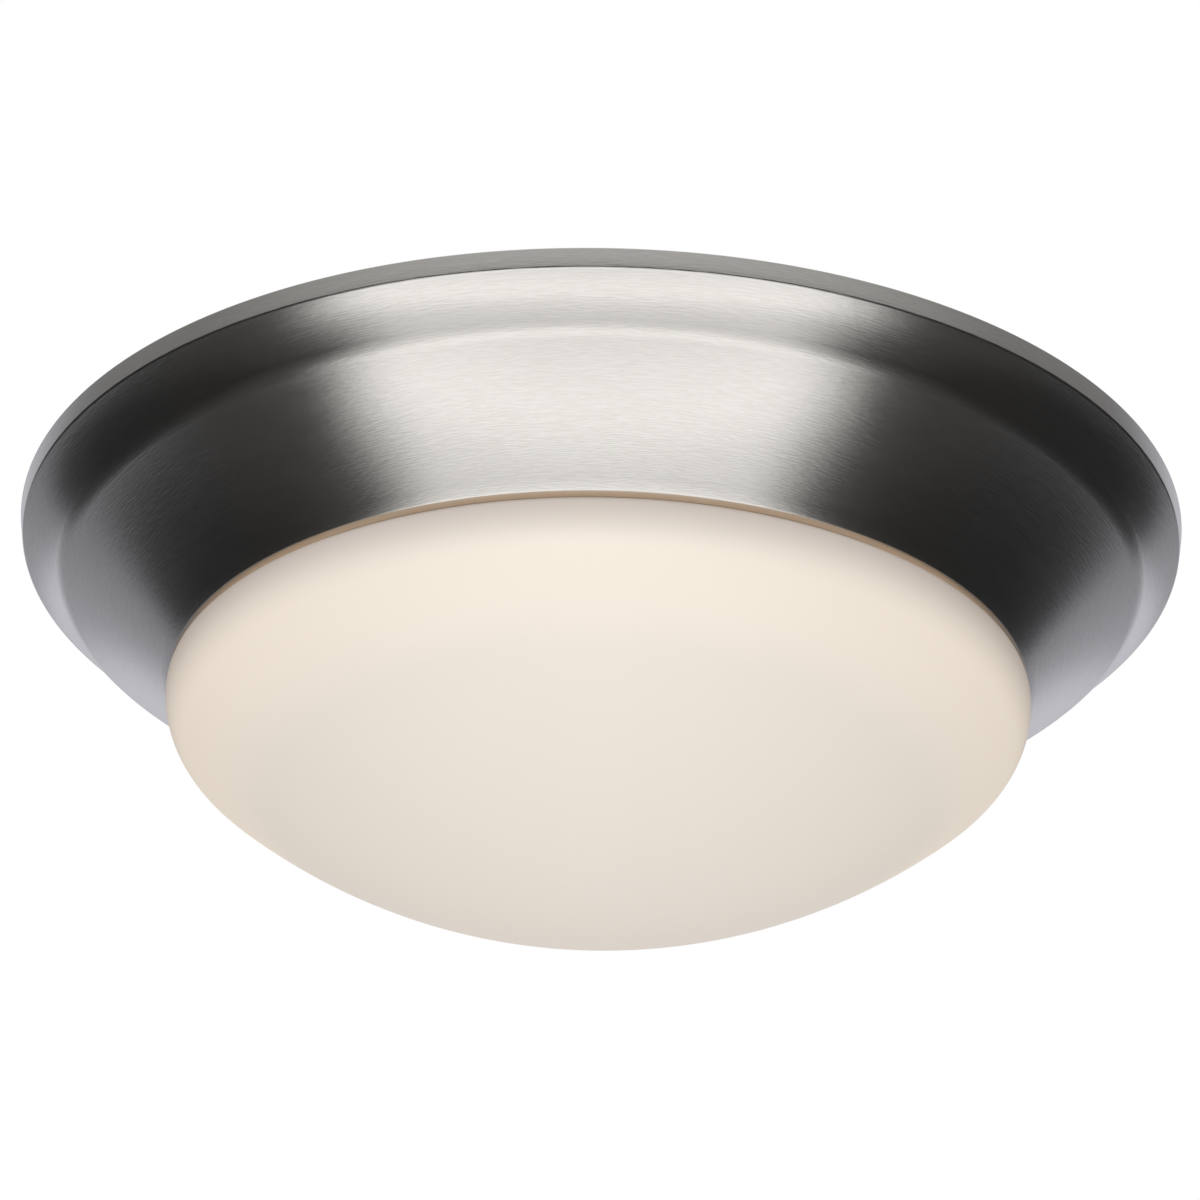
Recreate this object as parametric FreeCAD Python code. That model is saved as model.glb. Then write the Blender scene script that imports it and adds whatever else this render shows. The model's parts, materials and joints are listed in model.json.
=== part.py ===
"""A flush mount ceiling light: a spun two-tier metal pan with a twist-lock frosted glass bowl.

The origin is the centre of the ceiling plane, +Z points up into the ceiling, and everything hangs
below it at negative Z. All sizes are millimetres and all angles degrees.
"""
import FreeCAD, Part
import math
import os

Vector = FreeCAD.Vector

# ---------------------------------------------------------------- clearances and seats
SEAT_GAP = 0.3           # between a piece that turns or lifts and what it rests on
MOUTH_GAP = 0.4          # between the pan's rolled lip and the shelf of the glass
FIT_GAP = 0.2            # around a rivet, board or rim in what holds it
LEAD_GAP = 0.3           # around a lead where it passes through a wall

# ---------------------------------------------------------------- the pan
PAN_DIAMETER = 355.6     # 14 inches
PAN_SHEET = 0.8
RIM_FLANGE_WIDTH = 14.0  # the flange that lies on the ceiling
BAND_HEIGHT = 6.1        # the upright band against the ceiling
BAND_DRAFT = 0.7         # how far the band leans in over its height
UPPER_TIER_STEP = 12.4   # how far the upper tier comes in from the band
UPPER_TIER_HEIGHT = 13.7
UPPER_COVE_RISE = 0.9    # how far the cove's middle lies behind its chord
LOWER_TIER_STEP = 34.0
LOWER_TIER_HEIGHT = 34.6
LOWER_COVE_RISE = 1.8
RIDGE_ROUND = 2.5
LIP_TURN = 1.7           # how far the rolled lip turns in
LIP_DROP = 1.5           # and how far it drops while it does
LIP_ROUND = 0.8
RETURN_HEIGHT = 10.4     # the wall that goes back up inside the mouth
RETURN_DRAFT = 0.4
SEAT_WALL_GAP = 0.9      # between the seat on top of that wall and the tier beside it

# ---------------------------------------------------------------- the glass bowl
GLASS_PROUD = 0.6        # how far the glass swells past the pan's lower edge
GLASS_WALL = 3.0
SHOULDER_DROP = 2.3      # from the shelf under the lip to the widest place
SHOULDER_RADIUS = 17.8
CROWN_RADIUS = 187.1
SHELF_ROUND = 2.0        # between the shelf and the shoulder
NECK_ABOVE_LUGS = 1.0
LUG_COUNT = 3
LUG_ANGLE = 20.0
LUG_REACH = 3.8
LUG_HEIGHT = 3.0
LUG_PASS_GAP = 1.3       # between the lugs and the mouth that they pass through

# ---------------------------------------------------------------- the bayonet
LOCK_RING_SHEET = 1.2
LOCK_RING_EDGE_GAP = 0.4
TAB_LEAD_ANGLE = 14.0    # how far a tab reaches ahead of the middle of its lug
TAB_NECK_GAP = 0.7
TAB_FREE_ANGLE = 6.0     # between lug and tab once the glass is free to drop
STOP_HEIGHT = 2.6
STOP_THICKNESS = 1.2

# ---------------------------------------------------------------- the dust seal above the glass
SEAL_THICKNESS = 1.5
SEAL_OVERHANG = 1.5      # how far it reaches in past the neck
SEAL_FOOT_GAP = 1.8      # between the lugs and the seal's foot

# ---------------------------------------------------------------- the crossbar and its screws
BAR_LENGTH = 134.0
BAR_WIDTH = 18.0
BAR_SHEET = 1.6
BAR_CORNER = 4.0
NIPPLE_HOLE_RADIUS = 5.2
BOX_SCREW_SPACING = 88.9  # 3.5 inches, the screw spacing of a ceiling box
BOX_SLOT_RADIUS = 2.4
BOX_SLOT_LENGTH = 12.0
FIXTURE_SCREW_INSET = 7.5
FIXTURE_SCREW_RADIUS = 2.0
FIXTURE_SCREW_HEAD_RADIUS = 4.2
FIXTURE_SCREW_HEAD_HEIGHT = 2.6
SCREW_TIP_GAP = 0.2      # from a fixture screw's end to the ceiling

# ---------------------------------------------------------------- the back plate
PLATE_SHEET = 1.0
PLATE_EDGE_GAP = 2.3     # inside the pan's band
DISH_DEPTH = 5.0         # the room for the crossbar
DISH_SLOPE = 6.0
DISH_BAR_GAP = 17.0      # beyond the crossbar's ends
ENTRY_HOLE_RADIUS = 19.0
BOX_ACCESS_RADIUS = 6.5  # the holes below the box screws
KEYHOLE_HEAD_GAP = 0.6   # around a fixture screw's head in the wide end of its keyhole
KEYHOLE_TURN = 10.0      # the angle from a keyhole's wide end to its narrow one
RIB_COUNT = 6
RIB_WIDTH = 8.0
RIB_DEPTH = 1.5
RIB_START_GAP = 9.0      # outside the tray's flange
RIB_END_GAP = 16.0       # inside the plate's edge
PLATE_RIVET_COUNT = 3
PLATE_RIVET_RADIUS = 1.6
PLATE_RIVET_HEAD_RADIUS = 2.8
PLATE_RIVET_HEAD_HEIGHT = 1.0
BUSH_WALL = 1.5
BUSH_LIP = 1.6

# ---------------------------------------------------------------- terminals and ground
TERMINAL_LENGTH = 30.0
TERMINAL_WIDTH = 17.0
TERMINAL_HEIGHT = 13.0
TERMINAL_POLE_COUNT = 3
TERMINAL_X = 27.0
TERMINAL_Y = 58.0
TERMINAL_SHOULDER = 3.0
TERMINAL_ENTRY_WIDTH = 3.4
TERMINAL_ENTRY_DEPTH = 4.0
TERMINAL_SCREW_RADIUS = 2.2
TERMINAL_SCREW_HEIGHT = 0.8
TERMINAL_SCREW_SINK = 0.8
GROUND_X = 10.0
GROUND_Y = 25.0
GROUND_SCREW_RADIUS = 1.8
GROUND_HEAD_RADIUS = 3.9
GROUND_HEAD_HEIGHT = 2.2
EYE_SHEET = 0.8
BARREL_LENGTH = 5.0

# ---------------------------------------------------------------- the driver
CASE_LENGTH = 104.0
CASE_WIDTH = 42.0
CASE_HEIGHT = 20.0
CASE_WALL = 1.2
CASE_Y = -47.0
CASE_CORNER = 2.5
EAR_LENGTH = 9.0
EAR_WIDTH = 16.0
POST_HEIGHT = 3.4
POST_WIDTH = 5.0
LEAD_EXIT_DEPTH = 15.5   # from the case's top to the leads' holes
LID_SHEET = 1.2
LID_RIM = 1.6
DRIVER_SCREW_RADIUS = 1.7
DRIVER_SCREW_HEAD_RADIUS = 3.1
DRIVER_SCREW_HEAD_HEIGHT = 1.9
DRIVER_BOARD_SHEET = 1.6
TRANSFORMER_LENGTH = 20.0
TRANSFORMER_WIDTH = 17.0
TRANSFORMER_HEIGHT = 10.5
TRANSFORMER_CORE = 5.0
CAPACITOR_RADIUS = 5.0
CAPACITOR_HEIGHT = 10.0
CAPACITOR_GAP = 3.0
CAPACITOR_END_GAP = 14.0  # between the case's end and the outer can

# ---------------------------------------------------------------- the LED tray
TRAY_SHEET = 0.8
TRAY_PASS_GAP = 2.2      # between the tray's edge and the tabs that it passes on its way in
TRAY_FLANGE_WIDTH = 11.0
TRAY_WALL_DRAFT = 6.0
TRAY_LID_GAP = 3.2       # between the driver's lid and the tray's floor
TRAY_SCREW_COUNT = 3
TRAY_SCREW_RADIUS = 1.7
TRAY_SCREW_HEAD_RADIUS = 3.0
TRAY_SCREW_HEAD_HEIGHT = 1.9
BOARD_EDGE_GAP = 10.0    # between the LED board and the tray's wall
BOARD_SHEET = 1.6
PAD_THICKNESS = 0.5
PAD_SCREW_GAP = 4.0      # between the thermal pad and the board's screws
BOARD_SCREW_COUNT = 3
BOARD_SCREW_INSET = 6.0
BOARD_SCREW_RADIUS = 1.5
BOARD_SCREW_HEAD_RADIUS = 2.7
BOARD_SCREW_HEAD_HEIGHT = 1.7
CHIP_LENGTH = 3.5
CHIP_WIDTH = 2.8
CHIP_HEIGHT = 0.7
CHIP_RING_COUNT = 3
CHIP_FIRST_RING = 30.0
CHIP_EDGE_GAP = 17.0     # between the last ring and the board's edge
CHIP_FIRST_COUNT = 8
CHIP_COUNT_STEP = 6
FEED_Y = -6.0
FEED_HOLE_RADIUS = 4.6
GROMMET_WALL = 1.2
GROMMET_LIP = 1.5
CONNECTOR_FEED_GAP = 6.0
CONNECTOR_LENGTH = 8.0
CONNECTOR_WIDTH = 8.0
CONNECTOR_HEIGHT = 3.6
CONNECTOR_MOUTH = 3.0    # how deep the leads go in

# ---------------------------------------------------------------- the leads
MAINS_LEAD_RADIUS = 1.1
LED_LEAD_RADIUS = 0.8
LEAD_PITCH = 3.2         # centre to centre where two leads run side by side
LEAD_SIDE_COUNT = 8
MAINS_EXIT_X = 32.0
MAINS_EXIT_RUN = 14.0
MAINS_ENTRY_RUN = 14.0
GROUND_RUN = 7.0
BEND_SHARE = 0.45        # the share of the shorter run that a bend takes up at each side

# ---------------------------------------------------------------- levels and radii that follow
PAN_RADIUS = PAN_DIAMETER / 2
BAND_BOTTOM_RADIUS = PAN_RADIUS - BAND_DRAFT
UPPER_TIER_RADIUS = BAND_BOTTOM_RADIUS - UPPER_TIER_STEP
UPPER_TIER_BOTTOM = -BAND_HEIGHT - UPPER_TIER_HEIGHT
LOWER_TIER_RADIUS = UPPER_TIER_RADIUS - LOWER_TIER_STEP
LOWER_TIER_BOTTOM = UPPER_TIER_BOTTOM - LOWER_TIER_HEIGHT
MOUTH_RADIUS = LOWER_TIER_RADIUS - LIP_TURN
MOUTH_LEVEL = LOWER_TIER_BOTTOM - LIP_DROP
RETURN_TOP_RADIUS = MOUTH_RADIUS - RETURN_DRAFT
SEAT_LEVEL = MOUTH_LEVEL + RETURN_HEIGHT
SEAT_BOTTOM = SEAT_LEVEL - PAN_SHEET

LOCK_RING_TOP = SEAT_LEVEL + LOCK_RING_SHEET
LUG_RADIUS = RETURN_TOP_RADIUS - LUG_PASS_GAP
LUG_BOTTOM = LOCK_RING_TOP + SEAT_GAP
LUG_TOP = LUG_BOTTOM + LUG_HEIGHT
NECK_RADIUS = LUG_RADIUS - LUG_REACH
NECK_TOP = LUG_TOP + NECK_ABOVE_LUGS
SHELF_LEVEL = MOUTH_LEVEL - MOUTH_GAP
GLASS_RADIUS = LOWER_TIER_RADIUS + GLASS_PROUD
WIDEST_LEVEL = SHELF_LEVEL - SHOULDER_DROP
TAB_INNER_RADIUS = NECK_RADIUS + TAB_NECK_GAP
TWIST_ANGLE = LUG_ANGLE / 2 + TAB_LEAD_ANGLE + TAB_FREE_ANGLE

SEAL_BOTTOM = NECK_TOP + SEAT_GAP
SEAL_TOP = SEAL_BOTTOM + SEAL_THICKNESS
SEAL_INNER = NECK_RADIUS - GLASS_WALL - SEAL_OVERHANG
SEAL_FOOT_INNER = LUG_RADIUS + SEAL_FOOT_GAP
SEAL_FOOT_OUTER = SEAL_FOOT_INNER + SEAL_THICKNESS

RIM_TOP = -PAN_SHEET
RIM_BOTTOM = RIM_TOP - PLATE_SHEET
DISH_TOP = RIM_TOP - DISH_DEPTH
DISH_BOTTOM = DISH_TOP - PLATE_SHEET
DISH_RADIUS = BAR_LENGTH / 2 + DISH_BAR_GAP
PLATE_RADIUS = PAN_RADIUS - PAN_SHEET - PLATE_EDGE_GAP
PLATE_RIVET_CIRCLE = PAN_RADIUS - (RIM_FLANGE_WIDTH + PLATE_EDGE_GAP) / 2
FIXTURE_SCREW_CIRCLE = BAR_LENGTH / 2 - FIXTURE_SCREW_INSET

TERMINAL_BOTTOM = DISH_BOTTOM - TERMINAL_HEIGHT
TERMINAL_PITCH = TERMINAL_LENGTH / TERMINAL_POLE_COUNT
TERMINAL_ENTRY_LEVEL = DISH_BOTTOM - TERMINAL_HEIGHT / 2
TERMINAL_FRONT = TERMINAL_Y - TERMINAL_WIDTH / 2
EYE_BOTTOM = DISH_BOTTOM - EYE_SHEET
BARREL_RADIUS = MAINS_LEAD_RADIUS + EYE_SHEET
BARREL_START = GROUND_Y + GROUND_HEAD_RADIUS + EYE_SHEET
BARREL_LEVEL = DISH_BOTTOM - BARREL_RADIUS

CASE_TOP = DISH_BOTTOM
CASE_BOTTOM = CASE_TOP - CASE_HEIGHT
CASE_FRONT = CASE_Y + CASE_WIDTH / 2
DRIVER_SCREW_X = (CASE_LENGTH + EAR_LENGTH) / 2
DRIVER_BOARD_TOP = CASE_TOP - CASE_WALL - POST_HEIGHT
DRIVER_BOARD_BOTTOM = DRIVER_BOARD_TOP - DRIVER_BOARD_SHEET
LEAD_EXIT_LEVEL = CASE_TOP - LEAD_EXIT_DEPTH

TRAY_FLANGE_RADIUS = TAB_INNER_RADIUS - TRAY_PASS_GAP
TRAY_WALL_RADIUS = TRAY_FLANGE_RADIUS - TRAY_FLANGE_WIDTH
TRAY_FLOOR_RADIUS = TRAY_WALL_RADIUS - TRAY_WALL_DRAFT
TRAY_SCREW_CIRCLE = TRAY_FLANGE_RADIUS - TRAY_FLANGE_WIDTH / 2
TRAY_FLANGE_BOTTOM = RIM_BOTTOM - TRAY_SHEET
TRAY_FLOOR_TOP = CASE_BOTTOM - LID_SHEET - TRAY_LID_GAP
TRAY_FLOOR_BOTTOM = TRAY_FLOOR_TOP - TRAY_SHEET
BOARD_RADIUS = TRAY_FLOOR_RADIUS - BOARD_EDGE_GAP
BOARD_SCREW_CIRCLE = BOARD_RADIUS - BOARD_SCREW_INSET
PAD_RADIUS = BOARD_SCREW_CIRCLE - BOARD_SCREW_HEAD_RADIUS - PAD_SCREW_GAP
PAD_BOTTOM = TRAY_FLOOR_BOTTOM - PAD_THICKNESS
BOARD_BOTTOM = PAD_BOTTOM - BOARD_SHEET
CHIP_RING_PITCH = (BOARD_RADIUS - CHIP_EDGE_GAP - CHIP_FIRST_RING) / (CHIP_RING_COUNT - 1)
CONNECTOR_FRONT = FEED_Y + CONNECTOR_FEED_GAP
CONNECTOR_LEVEL = BOARD_BOTTOM - CONNECTOR_HEIGHT / 2

Z_AXIS = Vector(0, 0, 1)
ORIGIN = Vector(0, 0, 0)
THROUGH = 1.0            # how far a cut runs past the faces that it opens
SHARP_CORNERS = 2        # the way an offset keeps the corners of a section


# ================================================================ helpers
def at(radius, level):
    """A point of a turned section, which is drawn in the XZ plane."""
    return Vector(radius, 0, level)


def line(start, end):
    return Part.LineSegment(start, end).toShape()


def behind_chord(start, end):
    """The direction from a section's chord towards the inside of the pan."""
    chord = end - start
    return Vector(chord.z, 0, -chord.x).normalize()


def cove(start, end, rise):
    """A hollow arc whose middle lies `rise` behind its chord."""
    return Part.Arc(start, (start + end) * 0.5 + behind_chord(start, end) * rise, end).toShape()


def cove_radius_at(start, end, rise, level):
    """How far a cove is from the light's axis at a given level."""
    radius = ((end - start).Length ** 2 / 4 + rise ** 2) / (2 * rise)
    centre = (start + end) * 0.5 - behind_chord(start, end) * (radius - rise)
    return centre.x - math.sqrt(radius ** 2 - (level - centre.z) ** 2)


def rounded(edges, radii):
    """Joins the edges of a section, with a tangent arc of the given radius at each corner."""
    plane = Part.Plane(ORIGIN, Vector(0, 1, 0))
    done = []
    current = edges[0]
    for following, radius in zip(edges[1:], radii):
        if radius > 0:
            tool = Part.ChFi2d.FilletAlgo(current, following, plane)
            tool.perform(radius)
            bend, current, following = tool.result(shared_corner(current, following), -1)
            done.extend([current, bend])
        else:
            done.append(current)
        current = following
    return Part.Wire(Part.__sortEdges__(done + [current]))


def shared_corner(first, second):
    """The point where two edges meet."""
    pairs = [(a.Point, b.Point) for a in first.Vertexes for b in second.Vertexes]
    return min(pairs, key=lambda pair: (pair[0] - pair[1]).Length)[0]


def turned_sheet(section, thickness):
    """Turns an open section, which is the outer skin, into a sheet that lies behind it."""
    return section.makeOffset2D(-thickness, SHARP_CORNERS, True, True).revolve(ORIGIN, Z_AXIS, 360)


def turned(points):
    """Turns a closed section, given by its corners, into a ring."""
    return Part.Face(Part.makePolygon(points + [points[0]])).revolve(ORIGIN, Z_AXIS, 360)


def disc(radius, bottom, top, x=0.0, y=0.0):
    return Part.makeCylinder(radius, top - bottom, Vector(x, y, bottom))


def block(x, y, length, width, bottom, top):
    """A block that is centred on x and y."""
    return Part.makeBox(length, width, top - bottom, Vector(x - length / 2, y - width / 2, bottom))


def rounded_block(x, y, length, width, bottom, top, corner):
    """A block whose four upright edges are rounded."""
    body = block(x, y, length, width, bottom, top)
    upright = [edge for edge in body.Edges if abs(edge.tangentAt(edge.FirstParameter).z) > 0.5]
    return body.makeFillet(corner, upright)


def slot(near, far, y, radius, bottom, top):
    """A slot with round ends along X, from end centre to end centre."""
    body = block((near + far) / 2, y, far - near, 2 * radius, bottom, top)
    return body.multiFuse([disc(radius, bottom, top, near, y), disc(radius, bottom, top, far, y)])


def rectangle(near, far, half_width, level):
    """The outline of a rectangle along X."""
    corners = [Vector(near, -half_width, level), Vector(far, -half_width, level),
               Vector(far, half_width, level), Vector(near, half_width, level)]
    return Part.makePolygon(corners + [corners[0]])


def sector(inner, outer, bottom, top, start_angle, sweep):
    """A piece of a ring, from start_angle over sweep."""
    corners = [at(inner, bottom), at(outer, bottom), at(outer, top), at(inner, top)]
    piece = Part.Face(Part.makePolygon(corners + [corners[0]])).revolve(ORIGIN, Z_AXIS, sweep)
    piece.rotate(ORIGIN, Z_AXIS, start_angle)
    return piece


def around(shape, count, first_angle=0.0):
    """Copies of a shape, evenly spaced around the light's axis."""
    copies = []
    for index in range(count):
        copy = shape.copy()
        copy.rotate(ORIGIN, Z_AXIS, first_angle + 360.0 * index / count)
        copies.append(copy)
    return copies


def fused(shapes):
    """One solid out of pieces that touch or overlap."""
    return shapes[0].multiFuse(shapes[1:]).removeSplitter()


def fastener(x, y, shank_top, shank_radius, head_top, head_radius, head_height):
    """A screw or rivet that points up, with its head at the bottom."""
    shank = disc(shank_radius, head_top, shank_top, x, y)
    head = disc(head_radius, head_top - head_height, head_top, x, y)
    return fused([shank, head])


def hex_screw(x, y, shank_top, shank_radius, head_top, head_radius, head_height):
    """A screw that points up, with a six-sided head at the bottom."""
    corners = []
    for index in range(6):
        turn = math.radians(60.0 * index)
        corners.append(Vector(x + head_radius * math.cos(turn), y + head_radius * math.sin(turn), head_top))
    head = Part.Face(Part.makePolygon(corners + [corners[0]])).extrude(Vector(0, 0, -head_height))
    return fused([disc(shank_radius, head_top, shank_top, x, y), head])


def bend_radii(points):
    """The radius of each bend of a lead's route, as large as its two runs allow."""
    radii = []
    for before, corner, after in zip(points, points[1:], points[2:]):
        half_turn = (corner - before).getAngle(after - corner) / 2
        shorter = min((corner - before).Length, (after - corner).Length)
        radii.append(BEND_SHARE * shorter / math.tan(half_turn))
    return radii


def lead_path(points):
    """Straight runs that are joined by tangent arcs."""
    edges = []
    start = points[0]
    for before, corner, after, bend in zip(points, points[1:], points[2:], bend_radii(points)):
        into = (corner - before).normalize()
        out = (after - corner).normalize()
        half_turn = into.getAngle(out) / 2
        first = corner - into * (bend * math.tan(half_turn))
        last = corner + out * (bend * math.tan(half_turn))
        middle = corner + (out - into).normalize() * (bend / math.cos(half_turn) - bend)
        edges.append(line(start, first))
        edges.append(Part.Arc(first, middle, last).toShape())
        start = last
    return Part.Wire(edges + [line(start, points[-1])])


def lead(points, radius):
    """A lead along its route, with a many-sided section."""
    axis = (points[1] - points[0]).normalize()
    side = Vector(1, 0, 0) if abs(axis.x) < 0.5 else Vector(0, 0, 1)
    across = axis.cross(side).normalize()
    side = across.cross(axis)
    corners = []
    for index in range(LEAD_SIDE_COUNT):
        turn = 2 * math.pi * (index + 0.5) / LEAD_SIDE_COUNT
        corners.append(points[0] + side * (radius * math.cos(turn)) + across * (radius * math.sin(turn)))
    section = Part.makePolygon(corners + [corners[0]])
    return lead_path(points).makePipeShell([section], True, False)


# ================================================================ the pan
def ridge():
    return at(UPPER_TIER_RADIUS, UPPER_TIER_BOTTOM)


def lower_edge():
    return at(LOWER_TIER_RADIUS, LOWER_TIER_BOTTOM)


def seat_outer_radius():
    """The seat ends a little way off the back of the lower cove."""
    wall = cove_radius_at(ridge(), lower_edge(), LOWER_COVE_RISE, SEAT_BOTTOM)
    return wall - PAN_SHEET - SEAT_WALL_GAP


def pan_section():
    """The outer skin, from the ceiling flange over both coves and back up inside the mouth."""
    ceiling_edge = at(PAN_RADIUS, 0)
    band_bottom = at(BAND_BOTTOM_RADIUS, -BAND_HEIGHT)
    mouth = at(MOUTH_RADIUS, MOUTH_LEVEL)
    return_top = at(RETURN_TOP_RADIUS, SEAT_LEVEL)
    edges = [
        line(at(PAN_RADIUS - RIM_FLANGE_WIDTH, 0), ceiling_edge),
        line(ceiling_edge, band_bottom),
        cove(band_bottom, ridge(), UPPER_COVE_RISE),
        cove(ridge(), lower_edge(), LOWER_COVE_RISE),
        line(lower_edge(), mouth),
        line(mouth, return_top),
        line(return_top, at(seat_outer_radius(), SEAT_LEVEL)),
    ]
    return rounded(edges, [0, 0, RIDGE_ROUND, LIP_ROUND, 0, 0])


def trim_pan():
    pan = turned_sheet(pan_section(), PAN_SHEET)
    return pan.cut(plate_rivet_holes())


# ================================================================ the bayonet
def lock_tab():
    """One tab with its bent-up stop, set for a lug that is centred on angle 0."""
    gap_angle = math.degrees(SEAT_GAP / LUG_RADIUS)
    stop_angle = math.degrees(STOP_THICKNESS / LUG_RADIUS)
    stop_start = LUG_ANGLE / 2 + gap_angle
    tab = sector(TAB_INNER_RADIUS, RETURN_TOP_RADIUS + THROUGH, SEAT_LEVEL, LOCK_RING_TOP,
                 -TAB_LEAD_ANGLE, TAB_LEAD_ANGLE + stop_start + stop_angle)
    stop = sector(TAB_INNER_RADIUS, LUG_RADIUS, LOCK_RING_TOP, LOCK_RING_TOP + STOP_HEIGHT,
                  stop_start, stop_angle)
    return tab.fuse(stop)


def lock_ring():
    """A flat steel ring, welded on the pan's seat, with tabs that reach in under the glass's lugs."""
    outer = seat_outer_radius() - LOCK_RING_EDGE_GAP
    hole = disc(RETURN_TOP_RADIUS, SEAT_LEVEL, LOCK_RING_TOP)
    ring = disc(outer, SEAT_LEVEL, LOCK_RING_TOP).cut(hole)
    return fused([ring] + around(lock_tab(), LUG_COUNT))


def dust_seal():
    """A soft ring over the rim of the glass, with a foot on the lock ring. It turns with the glass."""
    foot_bottom = LOCK_RING_TOP + SEAT_GAP
    return turned([
        at(SEAL_INNER, SEAL_BOTTOM), at(SEAL_FOOT_INNER, SEAL_BOTTOM),
        at(SEAL_FOOT_INNER, foot_bottom), at(SEAL_FOOT_OUTER, foot_bottom),
        at(SEAL_FOOT_OUTER, SEAL_TOP), at(SEAL_INNER, SEAL_TOP),
    ])


# ================================================================ the glass
def crown_centre(shoulder):
    """The crown's centre lies where the crown runs on smoothly from the shoulder."""
    lift = math.sqrt((CROWN_RADIUS - SHOULDER_RADIUS) ** 2 - shoulder.x ** 2)
    return at(0, shoulder.z + lift)


def glass_section():
    """The outer skin of the glass, from the top of the neck to the bottom of the bowl."""
    shoulder = at(GLASS_RADIUS - SHOULDER_RADIUS, WIDEST_LEVEL)
    crown = crown_centre(shoulder)
    shelf_edge = at(shoulder.x + math.sqrt(SHOULDER_RADIUS ** 2 - SHOULDER_DROP ** 2), SHELF_LEVEL)
    outward = (shoulder - crown).normalize()
    down = Vector(0, 0, -1)
    tangent = crown + outward * CROWN_RADIUS
    neck_bottom = at(NECK_RADIUS, SHELF_LEVEL)
    edges = [
        line(at(NECK_RADIUS, NECK_TOP), neck_bottom),
        line(neck_bottom, shelf_edge),
        Part.Arc(shelf_edge, at(GLASS_RADIUS, WIDEST_LEVEL), tangent).toShape(),
        Part.Arc(tangent, crown + (outward + down).normalize() * CROWN_RADIUS,
                 crown + down * CROWN_RADIUS).toShape(),
    ]
    return rounded(edges, [0, SHELF_ROUND, 0])


def glass_diffuser():
    """A blown bowl with a neck that goes up through the mouth, and lugs around the neck."""
    bowl = turned_sheet(glass_section(), GLASS_WALL)
    lug = sector(NECK_RADIUS - GLASS_WALL / 2, LUG_RADIUS, LUG_BOTTOM, LUG_TOP, -LUG_ANGLE / 2, LUG_ANGLE)
    return fused([bowl] + around(lug, LUG_COUNT))


# ================================================================ the crossbar
def crossbar():
    low = -BAR_SHEET - THROUGH
    bar = rounded_block(0, 0, BAR_LENGTH, BAR_WIDTH, -BAR_SHEET, 0, BAR_CORNER)
    half_run = BOX_SLOT_LENGTH / 2 - BOX_SLOT_RADIUS
    box_slot = slot(BOX_SCREW_SPACING / 2 - half_run, BOX_SCREW_SPACING / 2 + half_run, 0,
                    BOX_SLOT_RADIUS, low, THROUGH)
    thread = disc(FIXTURE_SCREW_RADIUS, low, THROUGH, FIXTURE_SCREW_CIRCLE)
    nipple = disc(NIPPLE_HOLE_RADIUS, low, THROUGH)
    return bar.cut(around(box_slot, 2) + around(thread, 2) + [nipple])


def fixture_screws():
    """They hang the light: up through the keyholes and into the crossbar's threads."""
    screw = fastener(FIXTURE_SCREW_CIRCLE, 0, -SCREW_TIP_GAP, FIXTURE_SCREW_RADIUS, DISH_BOTTOM,
                     FIXTURE_SCREW_HEAD_RADIUS, FIXTURE_SCREW_HEAD_HEIGHT)
    return Part.Compound(around(screw, 2))


# ================================================================ the back plate
def plate_section():
    """The plate's upper skin, from the wire entry out over the dished middle to the rim."""
    dish_edge = at(DISH_RADIUS, DISH_TOP)
    rim_start = at(DISH_RADIUS + DISH_SLOPE, RIM_TOP)
    return Part.Wire([
        line(at(ENTRY_HOLE_RADIUS, DISH_TOP), dish_edge),
        line(dish_edge, rim_start),
        line(rim_start, at(PLATE_RADIUS, RIM_TOP)),
    ])


def plate_rivet_angle():
    """The rivets lie halfway between the tray's screws."""
    return 0.0


def plate_rivet_holes():
    hole = disc(PLATE_RIVET_RADIUS, RIM_BOTTOM - THROUGH, THROUGH, PLATE_RIVET_CIRCLE)
    return around(hole, PLATE_RIVET_COUNT, plate_rivet_angle())


def ribs(inset, top):
    """Wedge-shaped ribs, which narrow downwards; the same form, a sheet smaller, hollows them."""
    near = TRAY_FLANGE_RADIUS + RIB_START_GAP + inset
    far = PLATE_RADIUS - RIB_END_GAP - inset
    half = RIB_WIDTH / 2 - inset
    low = top - RIB_DEPTH
    wide = rectangle(near, far, half, top)
    narrow = rectangle(near + RIB_DEPTH, far - RIB_DEPTH, half - RIB_DEPTH / 2, low)
    rib = Part.makeLoft([wide, narrow], True, True)
    return around(rib, RIB_COUNT, 180.0 / RIB_COUNT)


def keyholes():
    """Wide holes that pass the screws' heads, each with a narrow end where its screw is tightened."""
    low = DISH_BOTTOM - THROUGH
    high = DISH_TOP + THROUGH
    seat = disc(FIXTURE_SCREW_RADIUS, low, high, FIXTURE_SCREW_CIRCLE)
    way = sector(FIXTURE_SCREW_CIRCLE - FIXTURE_SCREW_RADIUS, FIXTURE_SCREW_CIRCLE + FIXTURE_SCREW_RADIUS,
                 low, high, 0, KEYHOLE_TURN)
    wide = disc(FIXTURE_SCREW_HEAD_RADIUS + KEYHOLE_HEAD_GAP, low, high, FIXTURE_SCREW_CIRCLE)
    wide.rotate(ORIGIN, Z_AXIS, KEYHOLE_TURN)
    return around(fused([seat, way, wide]), 2)


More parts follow.
